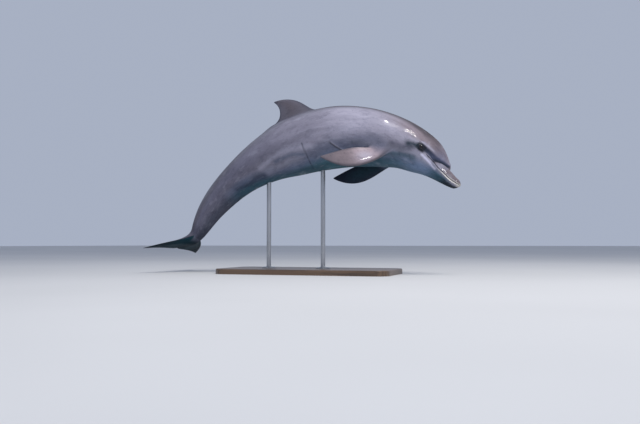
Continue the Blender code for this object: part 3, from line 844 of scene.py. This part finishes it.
# painted light on the flank above the flipper and painted shade in a dusky band over the flipper; a dusky patch by the
# vent and a pale band between
paint = lay(paint, rgb(138, 135, 151), .56 * bell(S - .270, .085) * bell(E + 27, 18))
paint = lay(paint, rgb(104, 108, 129), .62 * mark(((.440, -42), (.410, -38), (.365, -36), (.325, -34), (.285, -28), (.248, -24), (.226, -30)), .036))
paint = lay(paint, PALE * .86, .62 * mark(((.615, -34), (.573, -27), (.535, -22), (.501, -22), (.470, -25), (.440, -31)), .024))
paint = lay(paint, PALE * .70, .50 * mark(((.600, -55), (.556, -50), (.515, -44), (.480, -46)), .030))
paint = lay(paint, SLATE * .8, .60 * mark(((.560, -35), (.500, -34), (.470, -40)), .016))
paint = lay(paint, INK, .62 * mark(((.720, -47), (.677, -58), (.647, -51), (.620, -54)), .026))
# cheek and throat: blue-grey, dusky patches, greener underneath
paint = lay(paint, rgb(122, 141, 172), .92 * bell(S - .114, .050) * bell(E + 60, 32))
paint = lay(paint, rgb(92, 116, 138), .55 * bell(S - .165, .035) * bell(E + 62, 18))
paint = lay(paint, rgb(74, 96, 112), .80 * mark(((.200, -44), (.182, -43), (.168, -36), (.150, -32), (.138, -31)), .022))
paint = lay(paint, rgb(92, 92, 108), .75 * mark(((.205, -22), (.188, -22), (.172, -18), (.160, -14)), .026))
# pale streak under the eye back to the flipper
paint = lay(paint, PALE * .66, .45 * mark(((.140, -12), (.152, -22), (.166, -28), (.193, -33), (.205, -37)), .010))
# painted highlight: a bright streak along the lower lip back to the corner of the mouth
paint = lay(paint, PALE * 1.75, .95 * mark(((.124, -7), (.116, -8), (.108, -9), (.099, -10), (.088, -15), (.078, -21)), .0085))
paint = lay(paint, PALE * .62, .45 * mark(((.130, -12), (.122, -13), (.112, -13), (.102, -14)), .018))
# painted highlight: a blue-white streak at the corner of the mouth
paint = lay(paint, PALE * 1.65, .72 * mark(((.114, -8), (.104, -10), (.095, -13)), .0060))
# dark band from the eye to the foot of the melon, partly a dark stripe of the skin and partly painted shade under the
# melon's overhang, with a paler line along its upper edge
BAND_LOW = ((.050, 72), (.056, 60), (.062, 51), (.071, 40), (.078, 28), (.087, 15), (.095, 8), (.107, 9), (.117, 9),
            (.126, 7), (.131, 1), (.137, -2), (.142, 0), (.150, 6))
BAND_TOP = ((.050, 82), (.056, 72), (.069, 56), (.080, 43), (.090, 36), (.104, 30), (.117, 26), (.131, 23), (.141, 21),
            (.147, 14), (.150, 8))
b_low, b_top = curve_of(BAND_LOW, S), curve_of(BAND_TOP, S)
paint = lay(paint, PALE * .98, .70 * bell(E - b_top - 5, 4.5) * smooth(.090, .112, S) * (1 - smooth(.140, .156, S)))
paint = lay(paint, PALE * .90, .45 * mark(((.166, 9), (.156, 13), (.148, 20), (.139, 26)), .009))
band = smooth(b_low - 2.5, b_low + 2.5, E) * (1 - smooth(b_top - 5, b_top + 4, E)) * smooth(.046, .054, S) * (
    1 - smooth(.145, .151, S))
paint = lay(paint, rgb(54, 63, 90), .94 * band)
paint = lay(paint, INK * .9, .85 * band * bell(E - b_low - 3, 6) * (1 - smooth(.090, .110, S)))
paint = lay(paint, INK * .75, .90 * band * smooth(.092, .122, S) * bell(E - (b_low + b_top) / 2 - 1, 8))
# eye patch, partly the skin's own dark patch and partly painted shade round the socket, and the smudge behind it
eye_x, eye_y = (S - EYE_S) * LENGTH, np.radians(E - SIDE_EYE) * np.maximum(radius(S, A), .02)
eye_far = np.hypot(eye_x / 1.10, eye_y / 1.05)
eye_wide = np.hypot((eye_x + .004) / 1.35, (eye_y - .001) / .98)
paint = lay(paint, INK * .75, .95 * (1 - smooth(.016, .038, eye_wide)))
paint = lay(paint, NIGHT * .8, .97 * (1 - smooth(.015, .029, np.hypot(eye_x / 1.12, eye_y))))
paint = lay(paint, rgb(30, 45, 58), .96 * mark(((.148, 6), (.155, 3), (.162, 0), (.168, -3)), .023))
paint = lay(paint, INK, .30 * mark(((.156, -4), (.162, -12), (.172, -18)), .014))
# painted shade in the crease round the foot of the melon
fold = crease(S, A)
front = smooth(.040, .046, S) * (1 - smooth(.090, .098, S)) * (np.sin(A) > 0)
paint = lay(paint, INK * .8, .95 * bell(fold, .0060) * front)
# beak: brown above, pale wedge at its root, cream lips, painted shade in teal and near black under the jaw and the chin
above = up > 0
beak = (1 - smooth(.048, .056, S)) * above
wedge = above * smooth(.048, .060, S) * (1 - smooth(.090, .097, S)) * (1 - smooth(b_low - 7, b_low - 1, E))
paint = lay(paint, BROWN * .82, .92 * np.maximum(beak, wedge))
paint = lay(paint, PALE * .78, .85 * wedge * bell(S - .071, .015))
paint = lay(paint, BROWN * 1.02, .40 * beak * bell(E - 30, 22))
paint = lay(paint, TEAL * .80, .80 * (1 - smooth(-.036, -.016, up)) * (1 - smooth(.058, .100, S)))
paint = lay(paint, NIGHT * 1.6, .85 * (1 - smooth(-.034, -.016, up)) * (1 - smooth(.030, .066, S)))
paint = lay(paint, rgb(96, 100, 116), .65 * bell(up + .016, .010) * smooth(.02, .05, S) * (1 - smooth(.085, .10, S)))
paint = lay(paint, CREAM * 1.35, .95 * bell(up + .0062, .0044) * (1 - smooth(.042, .086, S)))
paint = lay(paint, CREAM * .92, .70 * bell(up - .0054, .0030) * (1 - smooth(.030, .062, S)))
paint = lay(paint, rgb(150, 148, 164), .60 * bell(up + .0060, .0045) * smooth(.050, .075, S) * (1 - smooth(.105, .122, S)))
paint = lay(paint, CREAM * 1.08, .85 * (1 - smooth(.002, .014, S)) * (1 - smooth(.000, .008, up)) * smooth(-.030, -.014, up))
paint = lay(paint, NIGHT, .97 * bell(up, .0021) * smooth(.001, .006, S) * (1 - smooth(.108, .116, S)))
paint = lay(paint, INK, .55 * bell(up - .0022, .0050) * smooth(.060, .095, S) * (1 - smooth(.110, .120, S)))
# painted shade in the fold at the corner of the mouth
paint = lay(paint, INK, .75 * bell(up - .0010 - (S - .112) * .30, .0030) * smooth(.104, .111, S) * (1 - smooth(.114, .124, S)))
# painted shade in the ear, the armpit fold and the wrinkles of the neck, a painted shadow over the flipper's root, a
# painted highlight on the ridge beside the armpit fold, and a dark line along the flank crease
paint = lay(paint, INK, .8 * bell(np.hypot((S - EAR[0]) * LENGTH, np.radians(E - EAR[1]) * .135), .0032))
paint = lay(paint, INK, .42 * mark(((.250, -42), (.272, -36), (.312, -34)), .018))
for q in ARMPIT:
    paint = lay(paint, PALE * .95, .70 * line(S + .0046, A, q, .0062))
    paint = lay(paint, NIGHT, .80 * mark(q, .0058))
paint = lay(paint, INK, .65 * mark(FLANK_CREASE, .0050))
for q in THROAT:
    paint = lay(paint, INK, .22 * mark(q, .006))
# painted shade round the edges of the blowhole and the slits, and nearly black inside them
paint = np.where((PART == SLIT)[:, None], lay(paint, INK, .55 * bell(T, .0035)), paint)
paint = np.where(((PART == SLIT) & (T < 0))[:, None], NIGHT, paint)
# lids: a slightly paler edge, wet dark inside
paint = np.where((PART == LID)[:, None], lay(paint * .55, SLATE * .30, .60 * bell(T - .0012, .0014)), paint)
paint = np.where(((PART == LID) & (T < 0))[:, None], rgb(34, 26, 28), paint)

# fins: the flippers tan-grey above with dusky edges and a painted pale highlight, and nearly black below as painted
# shade
le, te = 1 - smooth(0, .11, C), smooth(.86, 1, C)
flip = (PART == FLIP_R) | (PART == FLIP_L)
top_side = SD > 0
f_top = np.repeat((TAN * 1.02)[None], len(S), 0)
f_top = lay(f_top, PALE * 1.10, .48 * bell(T - .30, .18) * bell(C - .45, .28))
f_top = lay(f_top, BROWN * .88, .95 * smooth(.32, .66, T))
f_top = lay(f_top, CAPE * .72, .7 * smooth(.74, 1, T))
f_top = lay(f_top, FIN_GREY * .60, .85 * (1 - smooth(.02, .20, C)) + .60 * te)
f_low = np.repeat((INK * .86)[None], len(S), 0)
f_low = lay(f_low, TEAL * .52, .75 * bell(C - .5, .40) * (1 - smooth(.5, .95, T)))
f_paint = np.where(top_side[:, None], f_top, f_low)
paint = np.where(flip[:, None], lay(paint, f_paint, smooth(.0, .13, T)), paint)
d_paint = np.repeat((FIN_GREY * 1.02)[None], len(S), 0)
d_paint = lay(d_paint, BROWN * .50, .50 * bell(C - .40, .25) * bell(T - .55, .4))
d_paint = lay(d_paint, INK, .60 * te + .50 * le + .40 * smooth(.80, 1, T))
foot = spread_weight(((PART == DORSAL) & (T < .02)).astype(float), 7, .84)
paint = np.where((PART == DORSAL)[:, None], lay(paint, d_paint, .55 + .45 * smooth(.0, .12, T)), lay(paint, FIN_GREY * .78, .80 * foot * (PART == BODY)))
# flukes: dark above; the underside painted dark teal as shade and reflected water, greener in a band along each lobe
fl_top = lay(np.repeat((TAIL * .55)[None], len(S), 0), INK, .6 * smooth(.45, 1, T))
fl_low = lay(np.repeat((TEAL * np.array([.07, .15, .18]))[None], len(S), 0), TEAL * np.array([.15, .38, .40]), .6 * bell(np.abs(C) - .12, .08))
fl = np.where((SD > 0)[:, None], fl_top, fl_low)
fl = lay(fl, NIGHT, .7 * smooth(.93, 1, T))
paint = np.where((PART == FLUKES)[:, None], lay(paint, fl, smooth(.0, .22, T)), paint)
tail_dusk = smooth(.86, .925, S) * (PART == BODY)
paint = lay(paint, INK * .9, .45 * tail_dusk)
paint = np.clip(paint, 0, 1)

# wetness: glossy over the back and the flank, duller underneath
under = 1 - smooth(-14, 24, low)
dry = np.where(PART == BODY, under, 0)
dry = np.where((PART == LID) | (PART == SLIT), .25, dry)
dry = np.where(flip, np.where(top_side, .10, 1.0), dry)
dry = np.where(PART == DORSAL, .35, dry)
dry = np.where(PART == FLUKES, np.where(SD > 0, .75, 1.0), dry)
dry = np.maximum(dry, .6 * (1 - smooth(.018, .034, eye_far)) * (PART == BODY))
dry = np.maximum(dry, .9 * tail_dusk)
dry = np.maximum(dry, .80 * smooth(46, 62, E) * smooth(.07, .13, S) * (1 - smooth(.55, .80, S)) * (PART == BODY))
for _ in range(6):
    dry = dry + .5 * (around(dry[:, None])[:, 0] - dry)

# place along, right of and over the spine, for mottling that follows the body's length
along_s = S.copy()
for _ in range(14):
    sp, sf, sr, su = frame_at(along_s)
    along_s = np.clip(along_s - .8 * ((co - sp) * sf).sum(1) / LENGTH, -.01, 1.055)
sp, sf, sr, su = frame_at(along_s)
flow = np.stack([along_s * LENGTH - ((co - sp) * sf).sum(1), ((co - sp) * sr).sum(1), ((co - sp) * su).sum(1)], 1)
on_body = ((PART == BODY) | (PART == LID) | (PART == SLIT)).astype(float)
for _ in range(8):
    on_body = on_body + .5 * (around(on_body[:, None])[:, 0] - on_body)


def give(name, kind, values):
    layer = mesh.attributes.new(name, kind, 'POINT')
    if kind == 'FLOAT_COLOR':
        layer.data.foreach_set("color", np.concatenate([values, np.ones((len(values), 1))], 1).ravel().astype(np.float32))
    elif kind == 'FLOAT_VECTOR':
        layer.data.foreach_set("vector", values.ravel().astype(np.float32))
    else:
        layer.data.foreach_set("value", values.astype(np.float32))


give("paint", 'FLOAT_COLOR', paint)
give("flow", 'FLOAT_VECTOR', flow)
give("trunk", 'FLOAT', on_body)
from_top = np.arccos(np.clip(np.sin(A), -1, 1))
give("sheet", 'FLOAT_VECTOR', np.stack([S * LENGTH, from_top * .16, np.cos(A)], 1))
give("dry", 'FLOAT', dry)
give("calm", 'FLOAT', 1 - smooth(.026, .060, eye_far))

# ---------------------------------------------------------------- one unwrap: head, trunk and fins side by side
n_loops = len(mesh.loops)
corner = np.empty(n_loops, int)
mesh.loops.foreach_get("vertex_index", corner)
start = np.empty(len(mesh.polygons), int)
mesh.polygons.foreach_get("loop_start", start)
total = np.empty(len(mesh.polygons), int)
mesh.polygons.foreach_get("loop_total", total)
face_of = np.repeat(np.arange(len(start)), total)


def face_mean(v):
    return (np.bincount(face_of, v[corner], len(start)) / total)[face_of]


def face_max(v):
    out = np.full(len(start), -1e9)
    np.maximum.at(out, face_of, v[corner])
    return out[face_of]


turn_ = ((A + math.pi / 2) % (2 * math.pi)) / (2 * math.pi)
u_ = turn_[corner]
wide_ = face_max(turn_) - (-face_max(-turn_)) > .5
u_ = np.where(wide_ & (u_ < .5), u_ + 1, u_)
s_ = S[corner]
part_ = face_max(PART)
sign_ = np.where(face_mean(SD) >= 0, 1, -1)
head_ = face_mean(S) < STATIONS[row_of(.21)]
uv = np.zeros((n_loops, 2))
HEAD_S = STATIONS[row_of(.21)]
uv[:, 0] = np.where(head_, .545 + .44 * u_ / 1.02, .005 + .53 * u_ / 1.02)
uv[:, 1] = np.where(head_, .990 - .50 * s_ / HEAD_S, .995 - .985 * (s_ - HEAD_S) / (.9265 - HEAD_S))
# blades: along the span and across the chord
BOX = {(DORSAL, 1): (.545, .395, .22, .085), (DORSAL, -1): (.770, .395, .22, .085),
       (FLIP_R, 1): (.545, .300, .22, .085), (FLIP_R, -1): (.770, .300, .22, .085),
       (FLIP_L, 1): (.545, .205, .22, .085), (FLIP_L, -1): (.770, .205, .22, .085)}
t_, c_ = T[corner], C[corner]
for (part, sg), (x0, y0, wx, wy) in BOX.items():
    m = (part_ == part) & (sign_ == sg)
    uv[m, 0], uv[m, 1] = x0 + wx * t_[m], y0 + wy * c_[m]
for sg, y0 in ((1, .105), (-1, .005)):
    m = (part_ == FLUKES) & (sign_ == sg)
    uv[m, 0] = .765 + .215 * c_[m] / .36
    uv[m, 1] = y0 + .09 * np.clip((s_[m] - .92) / .105, 0, 1)
layer = mesh.uv_layers.new(name="OFBake")
layer.data.foreach_set("uv", uv.ravel().astype(np.float32))


# ---------------------------------------------------------------- materials
class Nodes:
    """Short names for the few nodes used."""

    def __init__(self, name):
        self.m = bpy.data.materials.new(name)
        self.m.use_nodes = True
        self.t = self.m.node_tree
        self.bsdf = self.t.nodes["Principled BSDF"]

    def new(self, kind, links=(), **values):
        node = self.t.nodes.new(kind)
        for key, value in values.items():
            setattr(node, key, value)
        for socket, value in dict(links).items():
            self.feed(node.inputs[socket], value)
        return node

    def feed(self, socket, value):
        if isinstance(value, bpy.types.NodeSocket):
            self.t.links.new(value, socket)
        else:
            socket.default_value = value

    def attribute(self, name, out="Fac"):
        return self.new("ShaderNodeAttribute", attribute_name=name).outputs[out]

    def coords(self, out="Object"):
        return self.new("ShaderNodeTexCoord").outputs[out]

    def scaled(self, vector, scale, at=(0, 0, 0), turn=(0, 0, 0)):
        return self.new("ShaderNodeMapping", {"Vector": vector, "Scale": scale, "Location": at, "Rotation": turn}).outputs[0]

    def noise(self, vector, scale, detail=4.0, rough=.55, distort=0.0):
        return self.new("ShaderNodeTexNoise", {"Vector": vector, "Scale": scale, "Detail": detail, "Roughness": rough,
                                               "Distortion": distort}).outputs[0]

    def math(self, op, a, b=0.0, c=0.0):
        return self.new("ShaderNodeMath", {0: a, 1: b, 2: c}, operation=op).outputs[0]

    def span(self, value, a, b, c=0.0, d=1.0, smooth=True):
        return self.new("ShaderNodeMapRange", {"Value": value, "From Min": a, "From Max": b, "To Min": c, "To Max": d},
                        interpolation_type='SMOOTHSTEP' if smooth else 'LINEAR').outputs[0]

    def mix(self, factor, a, b, blend='MIX'):
        node = self.new("ShaderNodeMix", data_type='RGBA', blend_type=blend)
        for socket, value in ((node.inputs[0], factor), (node.inputs[6], a), (node.inputs[7], b)):
            self.feed(socket, value)
        return node.outputs[2]

    def bump(self, height, distance, strength=1.0, normal=None):
        node = self.new("ShaderNodeBump", {"Height": height, "Distance": distance, "Strength": strength})
        if normal is not None:
            self.t.links.new(normal, node.inputs["Normal"])
        return node.outputs[0]

    def set(self, **values):
        for key, value in values.items():
            self.feed(self.bsdf.inputs[key.replace("_", " ")], value)
        return self.m


def skin_material():
    n = Nodes("wet_skin")
    obj, flow = n.coords(), n.attribute("flow", "Vector")
    colour = n.attribute("paint", "Color")
    trunk, dry, calm = n.attribute("trunk"), n.attribute("dry"), n.attribute("calm")
    # cloudy mottling, streaks along the body, fine flecks
    cloud = n.noise(n.scaled(flow, (1.5, 6.5, 6.5)), 2.2, 5, .58, .4)
    colour = n.mix(n.math('MULTIPLY', n.span(cloud, .32, .68, 0, .36), n.math('ADD', .3, n.math('MULTIPLY', trunk, .7))), colour, (.34, .34, .37, 1), 'MULTIPLY')
    streak = n.noise(n.scaled(flow, (3.0, 20.0, 20.0)), 2.2, 4, .60, 1.2)
    colour = n.mix(n.math('MULTIPLY', n.span(streak, .54, .80, 0, .20), trunk), colour, (.38, .37, .44, 1))
    blotch = n.noise(n.scaled(flow, (.7, 1.4, 1.4), (2.7, .3, 1.1)), 11.0, 5, .66)
    colour = n.mix(n.math('MULTIPLY', n.span(blotch, .52, .70, 0, .34), n.math('ADD', .4, n.math('MULTIPLY', trunk, .6))), colour, (.42, .42, .46, 1), 'MULTIPLY')
    patchy = n.noise(n.scaled(flow, (.7, 1.4, 1.4), (.9, 2.3, .4)), 26.0, 4, .62)
    colour = n.mix(n.span(patchy, .50, .68, 0, .30), colour, (.40, .42, .48, 1), 'MULTIPLY')
    milky = n.noise(n.scaled(flow, (.6, 1.2, 1.2), (1.9, 1.3, 3.4)), 19.0, 4, .62)
    colour = n.mix(n.math('MULTIPLY', n.span(milky, .56, .74, 0, .19), trunk), colour, (.42, .42, .50, 1))
    grain = n.noise(n.scaled(obj, (1, 1, 1), (3.1, .7, 1.9)), 105.0, 3, .6)
    colour = n.mix(n.span(grain, .56, .74, 0, .36), colour, (.40, .40, .44, 1), 'MULTIPLY')
    speck = n.noise(obj, 260.0, 2, .5)
    colour = n.mix(n.math('MULTIPLY', n.span(speck, .62, .74, 0, .10), trunk), colour, (.30, .30, .35, 1))
    # healed scratches: short separate strokes on the skin, lying several ways
    sheet = n.attribute("sheet", "Vector")
    scratches = None
    for k, (lean, stretch) in enumerate(((6, 5.0), (-11, 6.0), (24, 8.0), (-38, 10.0))):
        v = n.scaled(sheet, (1.0, 1.0, 1.0), (k * 1.7, k * .9, k * 2.3), (0, 0, math.radians(lean)))
        bent = n.math('MULTIPLY', n.noise(v, 5.0, 1, .5), .030)
        v = n.new("ShaderNodeVectorMath", {0: v, 1: n.new("ShaderNodeCombineXYZ", {0: 0.0, 1: bent, 2: 0.0}).outputs[0]},
                  operation='ADD').outputs[0]
        dot = n.new("ShaderNodeTexVoronoi", {"Vector": n.scaled(v, (stretch, 96.0, 1.5)), "Scale": 1.0, "Randomness": 1.0},
                    feature='F1').outputs[0]
        thin = n.span(dot, .13, .05, 0, 1)
        patch = n.span(n.noise(n.scaled(flow, (1, 1, 1), (k * 3.3, 1.0, 2.0)), 3.4, 2, .5), .47, .60, 0, 1)
        one = n.math('MULTIPLY', thin, patch)
        scratches = one if scratches is None else n.math('MAXIMUM', scratches, one)
    keep = n.math('MULTIPLY', trunk, n.math('SUBTRACT', 1.0, calm))
    scratches = n.math('MULTIPLY', scratches, keep)
    colour = n.mix(n.math('MULTIPLY', scratches, .26), colour, (.44, .43, .49, 1))
    # relief finer than the mesh: ripples round the body, pores, the scratches
    ripple = n.noise(n.scaled(flow, (150.0, 9.0, 9.0)), 1.0, 2, .5, .3)
    pores = n.noise(obj, 420.0, 2, .5)
    soft = n.noise(n.scaled(flow, (1.0, 1.7, 1.7)), 15.0, 3, .55)
    normal = n.bump(soft, .0040, .60)
    swell = n.noise(n.scaled(flow, (1.0, 1.2, 1.2), (4.1, 2.2, .3)), 34.0, 2, .5)
    normal = n.bump(swell, .0016, n.math('SUBTRACT', .55, n.math('MULTIPLY', calm, .40)), normal)
    normal = n.bump(ripple, .0006, .30, normal)
    normal = n.bump(pores, .0003, .30, normal)
    normal = n.bump(scratches, .0004, .4, normal)
    wet = n.noise(n.scaled(flow, (1.4, 3.0, 3.0)), 6.0, 4, .6)
    rough = n.math('ADD', n.span(wet, .30, .70, .40, .52), n.math('MULTIPLY', dry, .30))
    coat = n.math('MULTIPLY', n.span(wet, .32, .68, .80, .45), n.math('SUBTRACT', 1.0, n.math('MULTIPLY', dry, .97)))
    n.set(Base_Color=colour, Roughness=rough, Normal=normal, Coat_Weight=coat)
    n.bsdf.inputs["Coat Roughness"].default_value = .055
    n.bsdf.inputs["Coat IOR"].default_value = 1.40
    n.bsdf.inputs["IOR"].default_value = 1.38
    n.bsdf.inputs["Specular IOR Level"].default_value = .28
    n.bsdf.inputs["Subsurface Weight"].default_value = 0.0
    return n.m


mesh.materials.append(skin_material())


# ---------------------------------------------------------------- eyes
def eyeball(side, name):
    centre, axis = eyes[side]
    fwd_ = frame_at(EYE_S)[1]
    e1 = fwd_ - (fwd_ @ axis) * axis
    e1 /= np.linalg.norm(e1)
    e2 = np.cross(axis, e1)
    if e2[2] < 0:
        e2 = -e2
    rows_, around_ = 64, 96
    theta = math.pi * (np.linspace(0, 1, rows_ + 1)[1:-1])**1.25
    lens = math.radians(36)
    verts, look = [centre + axis * (EYE_R + .0011)], [(0, 0)]
    for th in theta:
        q = min(1.0, th / lens)
        rr = EYE_R + .0011 * (1 - q * q)**1.5
        for k in range(around_):
            f = 2 * math.pi * k / around_
            verts.append(centre + axis * rr * math.cos(th) + rr * math.sin(th) * (math.cos(f) * e1 + math.sin(f) * e2))
            look.append((math.sin(th) * math.cos(f), math.sin(th) * math.sin(f)) if th < math.pi / 2 else (2.0, 0.0))
    verts.append(centre - axis * EYE_R)
    look.append((2.0, 0.0))
    faces_ = [(0, 1 + k, 1 + (k + 1) % around_) for k in range(around_)]
    for i_ in range(len(theta) - 1):
        a0 = 1 + i_ * around_
        for k in range(around_):
            k2 = (k + 1) % around_
            faces_.append((a0 + k, a0 + around_ + k, a0 + around_ + k2, a0 + k2))
    last_ = 1 + (len(theta) - 1) * around_
    faces_ += [(last_ + k, len(verts) - 1, last_ + (k + 1) % around_) for k in range(around_)]
    me = bpy.data.meshes.new(name)
    me.from_pydata([tuple(v) for v in verts], [], faces_)
    b_ = bmesh.new()
    b_.from_mesh(me)
    bmesh.ops.recalc_face_normals(b_, faces=b_.faces)
    if b_.calc_volume(signed=True) < 0:
        bmesh.ops.reverse_faces(b_, faces=b_.faces)
    b_.to_mesh(me)
    b_.free()
    me.shade_smooth()
    at = me.attributes.new("gaze", 'FLOAT_VECTOR', 'POINT')
    at.data.foreach_set("vector", np.array([(x, y, 0) for x, y in look], np.float32).ravel())
    ob = bpy.data.objects.new(name, me)
    bpy.context.scene.collection.objects.link(ob)
    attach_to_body(ob, "root")
    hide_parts("eye_right" if side == 1 else "eye_left")
    return ob


def eye_material():
    n = Nodes("wet_eye")
    gaze = n.attribute("gaze", "Vector")
    sep = n.new("ShaderNodeSeparateXYZ", {"Vector": gaze})
    x, y = sep.outputs[0], sep.outputs[1]
    far = n.math('SQRT', n.math('ADD', n.math('MULTIPLY', x, x), n.math('MULTIPLY', y, y)))
    # pupil: a wide oval, its upper edge hanging down in the middle
    px = n.math('DIVIDE', x, .27)
    hang = n.span(n.math('ABSOLUTE', x), .0, .16, .10, 0)
    py = n.math('DIVIDE', n.math('ADD', y, n.math('MULTIPLY', hang, .5)), .17)
    pupil = n.math('SQRT', n.math('ADD', n.math('MULTIPLY', px, px), n.math('MULTIPLY', py, py)))
    fine = n.noise(n.scaled(gaze, (1, 1, 1)), 38.0, 4, .65, 1.2)
    iris = n.mix(n.span(fine, .35, .68), (.005, .004, .004, 1), (.016, .010, .008, 1))
    iris = n.mix(n.span(far, .42, .60, 0, .85), iris, (.004, .004, .006, 1))
    white = n.mix(n.span(n.noise(gaze, 14.0, 3, .6), .4, .7), (.010, .009, .011, 1), (.028, .020, .022, 1))
    colour = n.mix(n.span(far, .58, .64), iris, white)
    colour = n.mix(n.span(pupil, 1.08, .92), colour, (.002, .002, .003, 1))
    n.set(Base_Color=colour, Roughness=.10, Normal=n.bump(n.noise(gaze, 26.0, 2, .5), .00012, .25))
    n.bsdf.inputs["Specular IOR Level"].default_value = .15
    n.bsdf.inputs["Coat Weight"].default_value = .45
    n.bsdf.inputs["Coat Roughness"].default_value = .03
    return n.m


eye_look = eye_material()
for side, name in ((1, "eyeball_right"), (-1, "eyeball_left")):
    eyeball(side, name).data.materials.append(eye_look)


# ---------------------------------------------------------------- stand
def board_material():
    n = Nodes("stained_oak")
    obj = n.coords()
    v = n.scaled(obj, (1.1, 15.0, 15.0))
    bend = n.noise(n.scaled(obj, (1.3, 3.0, 3.0)), 1.6, 3, .5)
    grain = n.new("ShaderNodeTexWave", {"Vector": v, "Scale": 1.3, "Distortion": 6.5, "Detail": 4.0, "Detail Scale": 1.4,
                                        "Detail Roughness": .62}, wave_type='BANDS', bands_direction='Y').outputs[1]
    pore = n.noise(n.scaled(obj, (7.0, 260.0, 260.0)), 1.0, 3, .6)
    dark = n.mix(n.span(grain, .15, .85), (.046, .027, .017, 1), (.118, .070, .041, 1))
    dark = n.mix(n.span(bend, .30, .72, 0, .55), dark, (.150, .095, .058, 1))
    dark = n.mix(n.span(pore, .60, .74, 0, .75), dark, (.020, .012, .008, 1))
    height = n.math('SUBTRACT', n.math('MULTIPLY', grain, .35), n.span(pore, .58, .72))
    n.set(Base_Color=dark, Roughness=n.span(pore, .35, .75, .34, .52), Normal=n.bump(height, .0004, .5))
    n.bsdf.inputs["Coat Weight"].default_value = .25
    n.bsdf.inputs["Coat Roughness"].default_value = .22
    return n.m


def steel_material():
    n = Nodes("brushed_steel")
    obj = n.coords()
    brush = n.noise(n.scaled(obj, (420.0, 420.0, 3.0)), 1.0, 4, .6)
    smear = n.noise(n.scaled(obj, (9.0, 9.0, 3.0)), 1.0, 3, .5)
    colour = n.mix(n.span(brush, .30, .70), (.40, .41, .43, 1), (.60, .61, .63, 1))
    colour = n.mix(n.span(smear, .45, .70, 0, .22), colour, (.30, .30, .31, 1))
    n.set(Base_Color=colour, Metallic=1.0, Roughness=n.span(brush, .25, .75, .24, .40), Normal=n.bump(brush, .0002, .35))
    return n.m


board, steel = board_material(), steel_material()
for node, look in (("stand_base", board), ("stand_rod_front", steel), ("stand_rod_rear", steel)):
    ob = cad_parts[node]
    for k in range(len(ob.material_slots)):
        ob.material_slots[k].material = look
    if not ob.material_slots:
        ob.data.materials.append(look)


# ---------------------------------------------------------------- floor, light and camera
def floor_material():
    n = Nodes("floor_pale")
    cloud = n.noise(n.coords(), .35, 3, .5)
    n.set(Base_Color=n.mix(n.span(cloud, .3, .7), (.56, .56, .565, 1), (.60, .60, .605, 1)), Roughness=.75)
    return n.m


floor_mesh = bpy.data.meshes.new("floor")
floor_mesh.from_pydata([(-40, -40, 0), (40, -40, 0), (40, 60, 0), (-40, 60, 0)], [], [(0, 1, 2, 3)])
floor = bpy.data.objects.new("floor", floor_mesh)
bpy.context.scene.collection.objects.link(floor)
floor.data.materials.append(floor_material())

world = bpy.data.worlds.new("studio")
bpy.context.scene.world = world
world.use_nodes = True
world.node_tree.nodes["Background"].inputs["Color"].default_value = (.50, .56, .70, 1)
world.node_tree.nodes["Background"].inputs["Strength"].default_value = .78
bpy.context.scene.view_settings.view_transform = 'Standard'


def area(name, az, el, distance, size, power, colour=(1, 1, 1), to=(.15, 0, .85)):
    """Soft light from azimuth az (0 the camera's side, 90 the animal's head) and height el, in degrees."""
    az, el = math.radians(az), math.radians(el)
    d = bpy.data.lights.new(name, 'AREA')
    d.shape = 'DISK'
    d.size = size
    d.energy = power
    d.color = colour
    o = bpy.data.objects.new(name, d)
    v = Vector((math.sin(az) * math.cos(el), -math.cos(az) * math.cos(el), math.sin(el)))
    o.location = Vector(to) + v * distance
    o.rotation_euler = v.to_track_quat('Z', 'Y').to_euler()
    bpy.context.scene.collection.objects.link(o)
    return o


# broad lights shape the form; small ones put the wet glints on it
area("key", 52, 60, 6.0, 3.4, 320, (1, .965, .91)).visible_glossy = False
area("front", 14, 22, 7.5, 3.4, 85, (.84, .90, 1)).visible_glossy = False
area("sheen", 50, 58, 6.2, 1.5, 26, (1, .98, .95))
for az, el, size, power, to in ((50, 69, .30, 66, (.60, -.15, 1.0)), (67, 55, .13, 11, (.75, -.1, .95)),
                                (56, 49, .15, 16, (.77, -.1, .92)), (43.6, 25, .50, 40, (.49, -.2, .77))):
    area("catch", az, el, 6.3, size, power, (1, .98, .95), to).visible_diffuse = False

AZ, PITCH, DIST, LENS_PX = math.radians(18.5), math.atan2(31.5, 700), 4.931, 700.0
fwd = np.array([-math.sin(AZ) * math.cos(PITCH), math.cos(AZ) * math.cos(PITCH), math.sin(PITCH)])
aim = ORIGIN + np.array([-.980, 0, -.160])
cam_data = bpy.data.cameras.new("camera")
cam_data.sensor_width = 36
cam_data.lens = LENS_PX / 640 * 36
cam_data.clip_end = 200
cam = bpy.data.objects.new("camera", cam_data)
cam.location = aim - fwd * DIST
cam.rotation_euler = Vector(fwd).to_track_quat('-Z', 'Y').to_euler()
bpy.context.scene.collection.objects.link(cam)
bpy.context.scene.camera = cam
